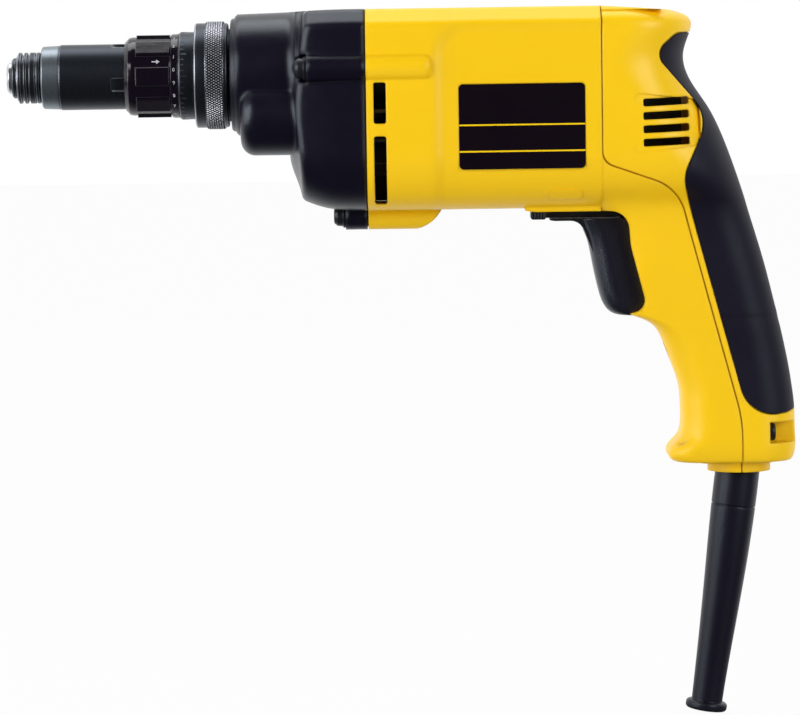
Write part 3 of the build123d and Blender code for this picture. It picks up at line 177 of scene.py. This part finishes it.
class Finish(Graph):
    """A material under construction."""

    def __init__(self, name):
        self.material = bpy.data.materials.new(name)
        self.material.use_nodes = True
        super().__init__(self.material.node_tree)
        self.place = self.add("ShaderNodeTexCoord", out="Object")
        self.x, self.y, self.z = self.parts_of(self.place)

    def mix(self, share, first, second):
        first, second = [c if isinstance(c, Value) else (*c, 1.0) for c in (first, second)]
        return self.add("ShaderNodeMix", {"data_type": "RGBA"}, {0: share, 6: first, 7: second}, out=2)

    def noise(self, size, detail=3.0, roughness=0.5, place=None):
        sockets = {"Scale": 1 / size, "Detail": detail, "Roughness": roughness}
        sockets["Vector"] = place or self.place
        return self.add("ShaderNodeTexNoise", {}, sockets, out="Fac")

    def cells(self, size):
        sockets = {"Vector": self.place, "Scale": 1 / size}
        return self.add("ShaderNodeTexVoronoi", {}, sockets, out="Distance")

    def turned_lines(self, pitch, arc):
        """Fine lines that run round the spindle axis: pitch apart along X, arc long in radians."""
        turn = self.z.maths("ARCTAN2", self.z, self.y)
        along_and_round = self.vector(self.x * (1 / pitch), turn * (1 / arc), 0.0)
        return self.noise(1.0, roughness=0.6, place=along_and_round)

    def soft_edges(self, radius):
        return self.add("ShaderNodeBevel", {"samples": 6}, {"Radius": radius})

    def edge_wear_and_highlight(self, radius, strength):
        """1 at edges, 0 on open faces. The finishes paint edges pale with it, partly as worn edges and partly as a
        painted highlight.
        """
        rounded = self.soft_edges(radius)
        flat = self.add("ShaderNodeNewGeometry", out="Normal")
        sockets = {0: rounded, 1: flat}
        match = self.add("ShaderNodeVectorMath", {"operation": "DOT_PRODUCT"}, sockets, out="Value")
        return ((1 - match) * strength).above(0.5, 0.5)

    def bump(self, height, depth, strength=1.0, normal=None):
        sockets = {"Height": height, "Distance": depth, "Strength": strength}
        if normal:
            sockets["Normal"] = normal
        return self.add("ShaderNodeBump", {}, sockets)

    def surface(self, **sockets):
        """Ends the material in a Principled shader whose sockets are named in small letters."""
        named = {}
        for name, value in sockets.items():
            socket = name.replace("_", " ").title().replace("Ior", "IOR")
            named[socket] = (*value, 1.0) if isinstance(value, tuple) else value
        self.show(self.add("ShaderNodeBsdfPrincipled", {}, named))
        return self.material

    def show(self, shader):
        self.add("ShaderNodeOutputMaterial", {}, {"Surface": shader})


class Pattern(Graph):
    """A geometry tree that sets out many small shapes and returns them as one plain mesh."""

    def __init__(self, name, **sizes):
        super().__init__(bpy.data.node_groups.new(name, "GeometryNodeTree"))
        self.name = name
        self.tree.interface.new_socket("Geometry", in_out="OUTPUT", socket_type="NodeSocketGeometry")
        self.settings = {}
        for size, value in sizes.items():
            kind = "NodeSocketInt" if isinstance(value, int) else "NodeSocketFloat"
            socket = self.tree.interface.new_socket(size, in_out="INPUT", socket_type=kind)
            self.settings[socket.identifier] = value
        group = self.tree.nodes.new("NodeGroupInput")
        self.size = {size: Value(self, group.outputs[size]) for size in sizes}
        self.index = self.add("GeometryNodeInputIndex")

    def round_the_axis(self, step, count, along, radius):
        """Places and turns for shapes on a ring round X, each with its Z outward and its X along X."""
        angle = step * math.tau / count
        across, up = angle.maths("COSINE", angle), angle.maths("SINE", angle)
        place = self.vector(along, across * radius, up * radius)
        settings = {"primary_axis": "Z", "secondary_axis": "X"}
        sockets = {"Primary Axis": self.vector(0.0, across, up), "Secondary Axis": (1.0, 0.0, 0.0)}
        return place, self.add("FunctionNodeAxesToRotation", settings, sockets)

    def set_out(self, count, place, shape, turn, scale):
        points = self.add("GeometryNodePoints", {}, {"Count": count, "Position": place})
        sockets = {"Points": points, "Instance": shape, "Rotation": turn, "Scale": scale}
        return self.add("GeometryNodeInstanceOnPoints", {}, sockets)

    def plain_mesh(self, shapes, material):
        real = self.add("GeometryNodeRealizeInstances", {}, {"Geometry": shapes})
        dressed = self.add("GeometryNodeSetMaterial", {}, {"Geometry": real, "Material": material})
        self.add("NodeGroupOutput", {}, {"Geometry": dressed})
        holder = bpy.data.objects.new(self.name, bpy.data.meshes.new(self.name))
        bpy.context.scene.collection.objects.link(holder)
        modifier = holder.modifiers.new(self.name, "NODES")
        modifier.node_group = self.tree
        for identifier, value in self.settings.items():
            modifier[identifier] = value
        mesh = evaluated_mesh(holder)
        bpy.data.objects.remove(holder)
        return mesh


def evaluated_mesh(holder):
    ready = holder.evaluated_get(bpy.context.evaluated_depsgraph_get())
    return bpy.data.meshes.new_from_object(ready)


# Finishes. COOL and WARM tint the gloss of the blacks and of the yellow.
COOL = (0.80, 0.92, 1.0)
WARM = (1.0, 0.94, 0.76)

# The housing's sides are a little lower behind and below this rounded corner
PANEL_FRONT = HOUSING_FRONT + 29.1 * MM
PANEL_TOP = HOUSING_TOP - 7.5 * MM
PANEL_BACK = COVER_FRONT + 14.0 * MM
PANEL_CORNER = 12.0 * MM
PANEL_SOFT = 3.0 * MM
PANEL_DEPTH = 0.9 * MM


def side_panel(f):
    """1 on the lower part of the housing's sides, 0 round it, with a soft step between."""
    across = (PANEL_FRONT + PANEL_CORNER - f.x).at_least(0.0)
    above = (f.z - (PANEL_TOP - PANEL_CORNER)).at_least(0.0)
    inside = PANEL_CORNER - (across * across + above * above).root()
    return inside.above(0.0, PANEL_SOFT) * (1 - f.x.above(PANEL_BACK, 4 * PANEL_SOFT))


def yellow_shell():
    f = Finish("yellow_shell")
    deep, light = (0.93, 0.560, 0.003), (0.99, 0.620, 0.004)
    panel = f.bump(1 - side_panel(f), PANEL_DEPTH, normal=f.soft_edges(1.4 * MM))
    grain = f.noise(0.55 * MM, detail=2.0)
    return f.surface(
        base_color=f.mix(f.noise(90.0 * MM, detail=2.0), deep, light),
        roughness=f.noise(4.0 * MM).spread(0.32, 0.42),
        normal=f.bump(grain, 0.04 * MM, strength=0.5, normal=panel),
        specular_ior_level=0.4, specular_tint=WARM)


def case_black():
    f = Finish("case_black")
    # The lighter colour is painted on the edges, partly as worn paint and partly as a painted highlight.
    black, second_colour = (0.0036, 0.0014, 0.0090), (0.022, 0.026, 0.038)
    grain = f.noise(0.9 * MM, detail=4.0, roughness=0.6)
    return f.surface(
        base_color=f.mix(f.edge_wear_and_highlight(2.0 * MM, strength=2.0), black, second_colour),
        roughness=f.noise(6.0 * MM).spread(0.26, 0.36),
        normal=f.bump(grain, 0.06 * MM, strength=0.5, normal=f.soft_edges(2.8 * MM)),
        specular_tint=COOL)


SATIN_BAND = (SLEEVE_FRONT - 0.2 * MM, SLEEVE_FRONT + 6.9 * MM)
# Where a painted highlight runs round the lock ring's front rim, and how strong it is
LOCK_FRONT_RIM = (LOCK_FRONT - 0.1 * MM, LOCK_FRONT + 0.7 * MM)
LOCK_RIM_HIGHLIGHT = 0.7


def black_steel():
    """Turned steel with a black oxide and a satin band on the sleeve's front. Its edges are painted pale, partly
    as worn edges and partly as a painted highlight; the lock ring's front rim is a painted highlight.
    """
    f = Finish("black_steel")
    lines = f.turned_lines(pitch=0.2 * MM, arc=0.5)
    oxide = f.mix(lines, (0.022, 0.025, 0.034), (0.054, 0.064, 0.078))
    satin = f.mix(lines, (0.13, 0.16, 0.18), (0.30, 0.34, 0.38))
    shiny = (0.50, 0.53, 0.58)
    band = f.x.between(*SATIN_BAND, 0.5 * MM)
    # A painted highlight on the lock ring's front rim; all edges are painted pale too, partly as worn edges and
    # partly as a painted highlight.
    rim = f.x.between(*LOCK_FRONT_RIM, 0.2 * MM) * LOCK_RIM_HIGHLIGHT
    wear_and_highlight = rim.at_least(f.edge_wear_and_highlight(0.7 * MM, strength=5.0))
    return f.surface(
        base_color=f.mix(wear_and_highlight, f.mix(band, oxide, satin), shiny),
        metallic=0.9,
        roughness=lines.spread(0.28, 0.42),
        normal=f.bump(lines, 0.03 * MM, strength=0.4, normal=f.soft_edges(0.4 * MM)))


# Behind this line the collar's edges get only a share of the pale edge paint, which is partly worn edges and
# partly a painted highlight.
COLLAR_FRONT_RIM = COLLAR_FRONT + 2.8 * MM
WEAR_AND_HIGHLIGHT_BEHIND_RIM = 0.12


def black_gloss():
    """Polished black whose edges are painted pale, partly as worn edges and partly as a painted highlight, most of
    all at the collar's front rim.
    """
    f = Finish("black_gloss")
    black, second_colour = (0.0040, 0.0016, 0.0064), (0.20, 0.22, 0.25)
    front_rim = 1 - f.x.above(COLLAR_FRONT_RIM, 0.4 * MM)
    wear_and_highlight = f.edge_wear_and_highlight(0.7 * MM, strength=5.0) * front_rim.spread(WEAR_AND_HIGHLIGHT_BEHIND_RIM, 1.0)
    ripple = f.noise(3.5 * MM, detail=2.0)
    return f.surface(
        base_color=f.mix(wear_and_highlight, black, second_colour),
        roughness=f.noise(3.0 * MM, detail=5.0, roughness=0.7).spread(0.09, 0.18),
        normal=f.bump(ripple, 0.06 * MM, strength=0.4, normal=f.soft_edges(0.5 * MM)))


def bright_steel():
    f = Finish("bright_steel")
    lines = f.turned_lines(pitch=0.25 * MM, arc=0.4)
    return f.surface(
        base_color=f.mix(lines, (0.50, 0.51, 0.53), (0.72, 0.73, 0.75)),
        metallic=1.0,
        roughness=lines.spread(0.2, 0.36),
        normal=f.bump(lines, 0.02 * MM, strength=0.4, normal=f.soft_edges(0.3 * MM)))


def machined(name, dark, light, roughness, metallic=1.0):
    f = Finish(name)
    lines = f.noise(1.2 * MM, detail=4.0, roughness=0.6)
    return f.surface(
        base_color=f.mix(lines, dark, light),
        metallic=metallic,
        roughness=lines.spread(*roughness),
        normal=f.bump(lines, 0.03 * MM, strength=0.4, normal=f.soft_edges(0.3 * MM)))


def moulded(name, dark, light, roughness, grain_size, grain_depth, gloss):
    f = Finish(name)
    grain = f.noise(grain_size)
    return f.surface(
        base_color=f.mix(f.noise(20.0 * MM), dark, light),
        roughness=grain.spread(*roughness),
        normal=f.bump(grain, grain_depth, strength=0.6, normal=f.soft_edges(0.7 * MM)),
        specular_ior_level=gloss, specular_tint=COOL)


def trigger_plastic():
    f = Finish("trigger_plastic")
    dark, light = (0.0036, 0.0018, 0.0085), (0.0060, 0.0036, 0.0120)
    stipple = f.cells(0.6 * MM)
    return f.surface(
        base_color=f.mix(f.noise(20.0 * MM), dark, light),
        roughness=stipple.spread(0.26, 0.36),
        normal=f.bump(stipple, 0.1 * MM, strength=0.6, normal=f.soft_edges(0.8 * MM)),
        specular_ior_level=0.8, specular_tint=COOL)


LABEL_LINES = (LABEL_TOP - 16.35 * MM, LABEL_TOP - 26.95 * MM)
LABEL_LINE_HALF = 0.32 * MM


def label_black():
    """A black film with two plain yellow lines across it."""
    f = Finish("label_black")
    dark, light, yellow = (0.0036, 0.0008, 0.0038), (0.0052, 0.0016, 0.0058), (0.93, 0.60, 0.006)
    line = sum(f.z.between(z - LABEL_LINE_HALF, z + LABEL_LINE_HALF, 0.04 * MM) for z in LABEL_LINES)
    film = f.mix(f.noise(10.0 * MM), dark, light)
    return f.surface(
        base_color=f.mix(line, film, yellow),
        roughness=f.noise(8.0 * MM).spread(0.30, 0.40),
        normal=f.bump(f.noise(0.6 * MM, detail=2.0), 0.01 * MM, strength=0.4),
        specular_ior_level=0.15)


KNURL_CREST = KNURL_RADIUS - 0.15 * MM


def knurl_steel():
    """Dark between the diamonds, bare steel on their tops."""
    f = Finish("knurl_steel")
    root, dull, shiny = (0.012, 0.011, 0.016), (0.40, 0.42, 0.48), (0.80, 0.82, 0.88)
    crest = (f.y * f.y + f.z * f.z).root().above(KNURL_CREST, 0.12 * MM)
    grime = f.noise(1.2 * MM)
    return f.surface(
        base_color=f.mix(crest, root, f.mix(grime, dull, shiny)),
        metallic=0.7,
        roughness=grime.spread(0.36, 0.50))


def mark_white():
    f = Finish("mark_white")
    paint, second_colour = (0.52, 0.53, 0.55), (0.10, 0.10, 0.11)
    worn = f.noise(0.6 * MM).above(0.62, 0.08)
    return f.surface(
        base_color=f.mix(worn, paint, second_colour),
        roughness=f.noise(0.8 * MM).spread(0.4, 0.55))


# Darker and lighter colour, and the range of roughness
MACHINED = {
    "spring_steel": ((0.36, 0.36, 0.37), (0.50, 0.50, 0.51), (0.25, 0.40)),
    "gear_steel": ((0.30, 0.30, 0.32), (0.46, 0.46, 0.48), (0.28, 0.42)),
    "core_steel": ((0.22, 0.22, 0.24), (0.34, 0.34, 0.36), (0.40, 0.55)),
    "cast_aluminium": ((0.50, 0.50, 0.50), (0.66, 0.66, 0.67), (0.40, 0.55)),
    "bronze": ((0.42, 0.27, 0.11), (0.60, 0.42, 0.20), (0.30, 0.45)),
    "copper": ((0.55, 0.25, 0.11), (0.74, 0.38, 0.20), (0.25, 0.40)),
    "brass": ((0.60, 0.44, 0.17), (0.76, 0.60, 0.30), (0.25, 0.40)),
    "stamped_mark": ((0.10, 0.11, 0.13), (0.26, 0.28, 0.31), (0.30, 0.45)),
}

# The same, then the size and depth of the grain, and the level of gloss
MOULDED = {
    "carbon": ((0.03, 0.03, 0.03), (0.06, 0.06, 0.06), (0.60, 0.75), 0.4 * MM, 0.04 * MM, 0.5),
    "fan_plastic": ((0.05, 0.05, 0.05), (0.08, 0.08, 0.08), (0.45, 0.60), 0.6 * MM, 0.04 * MM, 0.5),
    "switch_plastic": ((0.03, 0.03, 0.03), (0.05, 0.05, 0.05), (0.40, 0.50), 0.6 * MM, 0.04 * MM, 0.5),
    "grip_rubber": (
        (0.0056, 0.0036, 0.0120), (0.0084, 0.0060, 0.0160), (0.46, 0.60), 0.5 * MM, 0.06 * MM, 0.22),
    "guard_rubber": (
        (0.0040, 0.0020, 0.0090), (0.0060, 0.0036, 0.0120), (0.34, 0.44), 0.6 * MM, 0.04 * MM, 0.4),
}

FINISHES = {
    "yellow_shell": yellow_shell(),
    "case_black": case_black(),
    "black_steel": black_steel(),
    "black_gloss": black_gloss(),
    "bright_steel": bright_steel(),
    "label_black": label_black(),
    "trigger_plastic": trigger_plastic(),
    "screw_black": machined(
        "screw_black", (0.012, 0.012, 0.017), (0.035, 0.036, 0.044), (0.28, 0.42), metallic=0.6),
    "knurl_steel": knurl_steel(),
    "mark_white": mark_white(),
}
FINISHES.update({name: machined(name, *look) for name, look in MACHINED.items()})
FINISHES.update({name: moulded(name, *look) for name, look in MOULDED.items()})

for entry in frame["record"]["subparts"]:
    slots = nodes[entry["node"]].data.materials
    slots.clear()
    slots.append(FINISHES[entry["material_slot"]])

# Pieces added to the solids
SAME_POINT = 0.002 * MM
SMOOTH_BELOW = math.radians(25)


def place_piece(name, mesh, body, replaced=None):
    piece = bpy.data.objects.new(name, mesh)
    bpy.context.scene.collection.objects.link(piece)
    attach(piece, body)
    if replaced:
        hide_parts(replaced)
    return piece


def join_meshes(name, meshes, material):
    joined = bmesh.new()
    for mesh in meshes:
        joined.from_mesh(mesh)
    bmesh.ops.remove_doubles(joined, verts=joined.verts, dist=SAME_POINT)
    bmesh.ops.recalc_face_normals(joined, faces=joined.faces)
    whole = bpy.data.meshes.new(name)
    joined.to_mesh(whole)
    joined.free()
    whole.materials.append(material)
    return whole


def lathe(name, profile, steps, material):
    """A closed ring: the (x, radius) profile turned round the spindle axis."""
    mesh = bpy.data.meshes.new("turned")
    turns = [math.tau * step / steps for step in range(steps)]
    points = [(x, r * math.cos(a), r * math.sin(a)) for a in turns for x, r in profile]
    size = len(profile)
    faces = []
    for step in range(steps):
        near, far = step * size, (step + 1) % steps * size
        for this in range(size):
            after = (this + 1) % size
            faces.append((near + this, near + after, far + after, far + this))
    mesh.from_pydata(points, [], faces)
    ring = join_meshes(name, [mesh], material)
    ring.shade_smooth()
    ring.set_sharp_from_angle(angle=SMOOTH_BELOW)
    return ring


LOCK_BORE = 18.95 * MM
LOCK_RADIUS = KNURL_RADIUS - 0.7 * MM
LOCK_REAR_RADIUS = LOCK_RADIUS - 0.05 * MM
LOCK_STEPS = 160
KNURL_START, KNURL_END = LOCK_FRONT + 4.6 * MM, LOCK_END - 1.6 * MM
KNURL_SHOULDER = 0.25 * MM

# A diamond's height, how far its foot is sunk in the ring, its length and width, and the half width of
# its top where that of its foot is 0.5
KNURL_DEPTH = 0.42 * MM
KNURL_SUNK = 0.05 * MM
KNURL_LONG, KNURL_WIDE = 1.9 * MM, 1.13 * MM
KNURL_FLAT = 0.14


def lock_ring_turned():
    """The lock ring with rounded edges and a raised band that carries the knurl."""
    root = KNURL_RADIUS - KNURL_DEPTH
    front_edge = [(0.0, -0.8), (0.15, -0.4), (0.4, -0.12), (0.8, 0.0)]
    rear_edge = [(-0.5, -0.1), (-0.15, -0.3), (0.0, -0.6)]
    profile = [(LOCK_FRONT, LOCK_BORE)]
    profile += [(LOCK_FRONT + x * MM, LOCK_RADIUS + r * MM) for x, r in front_edge]
    profile += [(KNURL_START, LOCK_RADIUS), (KNURL_START + KNURL_SHOULDER, root)]
    profile += [(KNURL_END - KNURL_SHOULDER, root), (KNURL_END, LOCK_REAR_RADIUS)]
    profile += [(LOCK_END + x * MM, LOCK_RADIUS + r * MM) for x, r in rear_edge]
    profile += [(LOCK_END, LOCK_BORE)]
    return lathe("lock_ring_turned", profile, LOCK_STEPS, FINISHES["black_steel"])


def lock_ring_knurl():
    """Staggered columns of diamonds, longer along the axis than round it."""
    columns = round(2 * (KNURL_END - KNURL_START) / KNURL_LONG) - 1
    spare = KNURL_END - KNURL_START - (columns + 1) * KNURL_LONG / 2
    g = Pattern(
        "lock_ring_knurl", Around=round(math.tau * KNURL_RADIUS / KNURL_WIDE), Columns=columns,
        First=KNURL_START + (KNURL_LONG + spare) / 2, Long=KNURL_LONG, Wide=KNURL_WIDE,
        Depth=KNURL_DEPTH + KNURL_SUNK, Radius=KNURL_RADIUS - KNURL_DEPTH - KNURL_SUNK)
    size = g.size
    column = g.index.maths("FLOOR", g.index / size["Around"])
    step = g.index % size["Around"] + column % 2 * 0.5
    along = size["First"] + column * size["Long"] * 0.5
    place, turn = g.round_the_axis(step, size["Around"], along, size["Radius"])
    sockets = {"Vertices": 4, "Radius Top": KNURL_FLAT, "Radius Bottom": 0.5, "Depth": size["Depth"]}
    tooth = g.add("GeometryNodeMeshCone", {"fill_type": "NGON"}, sockets)
    scale = g.vector(size["Long"], size["Wide"], 1.0)
    teeth = g.set_out(size["Around"] * size["Columns"], place, tooth, turn, scale)
    return g.plain_mesh(teeth, FINISHES["knurl_steel"])


# A long mark's length in short ones
LONG_MARK = 1.9


def ring_marks():
    """Marks that stand a little proud of the graduated ring, every fourth one longer."""
    g = Pattern(
        "ring_marks", Count=48, Each=4, First=RING_FRONT + 0.9 * MM, Long=1.3 * MM, Wide=0.30 * MM,
        High=0.16 * MM, Radius=RING_RADIUS - 0.02 * MM)
    size = g.size
    stretch = LONG_MARK - (g.index % size["Each"]).at_most(1.0) * (LONG_MARK - 1)
    along = size["First"] + size["Long"] * stretch * 0.5
    place, turn = g.round_the_axis(g.index, size["Count"], along, size["Radius"])
    bar = g.add("GeometryNodeMeshCube", {}, {"Size": g.vector(size["Long"], size["Wide"], size["High"])})
    bars = g.set_out(size["Count"], place, bar, turn, g.vector(stretch, 1.0, 1.0))
    return g.plain_mesh(bars, FINISHES["stamped_mark"])


def bend_round(mesh, along, radius, turn):
    """Lays a flat mesh on a ring round X: its X stays along X, its Y goes up the side that faces -Y."""
    for point in mesh.vertices:
        angle = turn + point.co.y / radius
        reach = radius + point.co.z
        point.co = (along + point.co.x, -reach * math.cos(angle), reach * math.sin(angle))


NUMERALS = 20
NUMERAL_TALL = 2.1 * MM
NUMERAL_HALF_HIGH = 0.06 * MM
NUMERAL_MIDDLE = COLLAR_END - 1.6 * MM
NUMERAL_RADIUS = COLLAR_RADIUS - 0.08 * MM


def raised_numeral(text):
    curve = bpy.data.curves.new("numeral", "FONT")
    curve.body = text
    curve.size = NUMERAL_TALL
    curve.extrude = NUMERAL_HALF_HIGH
    curve.align_x = "CENTER"
    curve.align_y = "CENTER"
    curve.resolution_u = 3
    holder = bpy.data.objects.new("numeral", curve)
    bpy.context.scene.collection.objects.link(holder)
    mesh = evaluated_mesh(holder)
    bpy.data.objects.remove(holder)
    return mesh


def collar_numerals():
    """The digits 0 to 9, twice round the collar's rear band."""
    digits = []
    for place in range(NUMERALS):
        digit = raised_numeral(str(place % 10))
        turn = math.tau * (place + 0.5) / NUMERALS
        bend_round(digit, NUMERAL_MIDDLE, NUMERAL_RADIUS, turn)
        digits.append(digit)
    return join_meshes("collar_numerals", digits, FINISHES["mark_white"])


POINTER_HALF_LONG, POINTER_NECK = 1.6 * MM, 0.2 * MM
POINTER_HALF_STEM, POINTER_HALF_HEAD = 0.25 * MM, 0.95 * MM
POINTER_LOW, POINTER_HIGH = -0.08 * MM, 0.14 * MM
POINTER_MIDDLE = COLLAR_FRONT + 13.0 * MM
POINTER_RADIUS = COLLAR_RADIUS - 1.2 * MM
POINTER_TURN = math.radians(22)


def collar_pointer():
    """A small arrow on the collar that points back to the numerals."""
    lower = [
        (-POINTER_HALF_LONG, -POINTER_HALF_STEM), (POINTER_NECK, -POINTER_HALF_STEM),
        (POINTER_NECK, -POINTER_HALF_HEAD)]
    upper = [(x, -y) for x, y in reversed(lower)]
    outline = lower + [(POINTER_HALF_LONG, 0.0)] + upper
    flat = bmesh.new()
    face = flat.faces.new([flat.verts.new((x, y, POINTER_LOW)) for x, y in outline])
    raised = bmesh.ops.extrude_face_region(flat, geom=[face])
    top = [part for part in raised["geom"] if isinstance(part, bmesh.types.BMVert)]
    bmesh.ops.translate(flat, verts=top, vec=(0, 0, POINTER_HIGH))
    mesh = bpy.data.meshes.new("pointer")
    flat.to_mesh(mesh)
    flat.free()
    bend_round(mesh, POINTER_MIDDLE, POINTER_RADIUS, POINTER_TURN)
    return join_meshes("collar_pointer", [mesh], FINISHES["mark_white"])


place_piece("lock_ring_turned", lock_ring_turned(), "lock_ring", "lock_ring")
place_piece("lock_ring_knurl", lock_ring_knurl(), "lock_ring")
place_piece("ring_marks", ring_marks(), "housing")
place_piece("collar_numerals", collar_numerals(), "collar")
place_piece("collar_pointer", collar_pointer(), "collar")


# Springs that a joint presses
def body_of(node):
    bodies = frame["record"]["behaviour"]["bodies"]
    return next(body for body, members in bodies.items() if node in members)


def pressed_spring(node, joint, fixed_end):
    """A smoothed copy of a coil spring that takes its place on the same body."""
    name = node + "_pressed"
    mesh = join_meshes(name, [nodes[node].data], FINISHES["spring_steel"])
    mesh.shade_smooth()
    piece = place_piece(name, mesh, body_of(node), node)
    length = max(abs(corner.x - fixed_end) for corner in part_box(node))
    travel = max(abs(limit) for limit in joint["range_m"])
    1 - travel / length
    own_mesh(piece)


for joint in frame["joints"]:
    for spring in joint.get("deforming_nodes", []):
        pressed_spring(spring["node"], joint, spring["fixed_end_x_m"])

# Stage, lights and camera
WHITE = (1.0, 1.0, 1.0)
GREY = (0.5, 0.5, 0.5)
DIM = (0.06, 0.06, 0.07)
FLOOR_HALF = 6.0
FLOOR_GAP = 0.5 * MM
WORLD_FRONT, WORLD_BEHIND = 0.07, 1.0

# Share of the floor's look to the camera that is plain white, and not shaded
FLOOR_WHITE = 0.965

# Where along Y the floor and the world turn from dim to bright, and how softly
FLOOR_TURN = (0.08, 0.15)
WORLD_TURN = (0.10, 0.25)


def stage_floor():
    """White to the camera but for a soft shadow. Gloss shows it white behind the tool, dim in front."""
    f = Finish("stage_white")
    behind = f.y.above(*FLOOR_TURN)
    diffuse = f.add("ShaderNodeBsdfDiffuse", {}, {"Color": (*GREY, 1.0)})
    white = f.add("ShaderNodeEmission", {}, {"Color": (*WHITE, 1.0), "Strength": 1.0})
    shaded = f.add("ShaderNodeEmission", {}, {"Color": f.mix(behind, DIM, WHITE)})
    camera = f.add("ShaderNodeLightPath", out="Is Camera Ray")
    glossy = f.add("ShaderNodeLightPath", out="Is Glossy Ray")
    gloss_or_diffuse = f.add("ShaderNodeMixShader", {}, {0: glossy, 1: diffuse, 2: shaded})
    f.show(f.add("ShaderNodeMixShader", {}, {0: camera * FLOOR_WHITE, 1: gloss_or_diffuse, 2: white}))
    corners = [(-FLOOR_HALF, -FLOOR_HALF), (FLOOR_HALF, -FLOOR_HALF)]
    corners += [(FLOOR_HALF, FLOOR_HALF), (-FLOOR_HALF, FLOOR_HALF)]
    mesh = bpy.data.meshes.new("floor")
    mesh.from_pydata([(x, y, cad_low.z - FLOOR_GAP) for x, y in corners], [], [(0, 1, 2, 3)])
    mesh.materials.append(f.material)
    floor = bpy.data.objects.new("floor", mesh)
    bpy.context.scene.collection.objects.link(floor)


def white_world():
    """White to the camera. For other rays it is bright behind the tool and dim on the camera's side."""
    world = bpy.data.worlds.new("white_surround")
    bpy.context.scene.world = world
    world.use_nodes = True
    g = Graph(world.node_tree)
    direction = g.add("ShaderNodeTexCoord", out="Generated")
    behind = g.parts_of(direction)[1].above(*WORLD_TURN)
    camera = g.add("ShaderNodeLightPath", out="Is Camera Ray")
    through = g.add("ShaderNodeLightPath", out="Is Transmission Ray")
    level = camera.at_least(through).at_least(behind.spread(WORLD_FRONT, WORLD_BEHIND))
    glow = g.add("ShaderNodeBackground", {}, {"Color": (*WHITE, 1.0), "Strength": level})
    g.add("ShaderNodeOutputWorld", {}, {"Surface": glow})


LAMP_AIM = Vector((0.16, 0.0, -0.08))

# Place, width and height, and watts
LAMPS = {
    "overhead": ((0.12, 0.30, 1.00), (1.40, 0.60), 7.0),
    "front_left": ((-1.05, -1.10, 0.60), (0.80, 0.90), 12.0),
    "low_left": ((-1.10, -0.95, -0.02), (0.15, 0.60), 3.4),
    "left_strip": ((-1.20, -0.30, 0.05), (0.60, 1.10), 8.0),
    "front_right": ((1.30, -1.10, 0.40), (0.80, 0.90), 14.0),
}


def turn_towards(place, aim):
    return (aim - place).to_track_quat("-Z", "Y")


def softbox(name, place, size, watts):
    data = bpy.data.lights.new(name, "AREA")
    data.shape = "RECTANGLE"
    data.size, data.size_y = size
    data.energy = watts
    lamp = bpy.data.objects.new(name, data)
    lamp.location = place
    lamp.rotation_euler = turn_towards(Vector(place), LAMP_AIM).to_euler()
    bpy.context.scene.collection.objects.link(lamp)


CAMERA_PLACE = Vector((0.1606, -1.65, 0.0173))
CAMERA_AIM = Vector((0.1586, 0.0, -0.1168))
CAMERA_ROLL = math.radians(-0.85)
CAMERA_ANGLE = math.radians(11.345)


def photo_camera():
    data = bpy.data.cameras.new("photo_camera")
    data.sensor_fit = "HORIZONTAL"
    data.angle = CAMERA_ANGLE
    camera = bpy.data.objects.new("photo_camera", data)
    turn = turn_towards(CAMERA_PLACE, CAMERA_AIM).to_matrix().to_4x4()
    roll = Matrix.Rotation(CAMERA_ROLL, 4, "Z")
    camera.matrix_world = Matrix.Translation(CAMERA_PLACE) @ turn @ roll
    bpy.context.scene.collection.objects.link(camera)
    bpy.context.scene.camera = camera


stage_floor()
white_world()
for name, (place, size, watts) in LAMPS.items():
    softbox(name, place, size, watts)
photo_camera()
bpy.context.scene.view_settings.view_transform = "Standard"
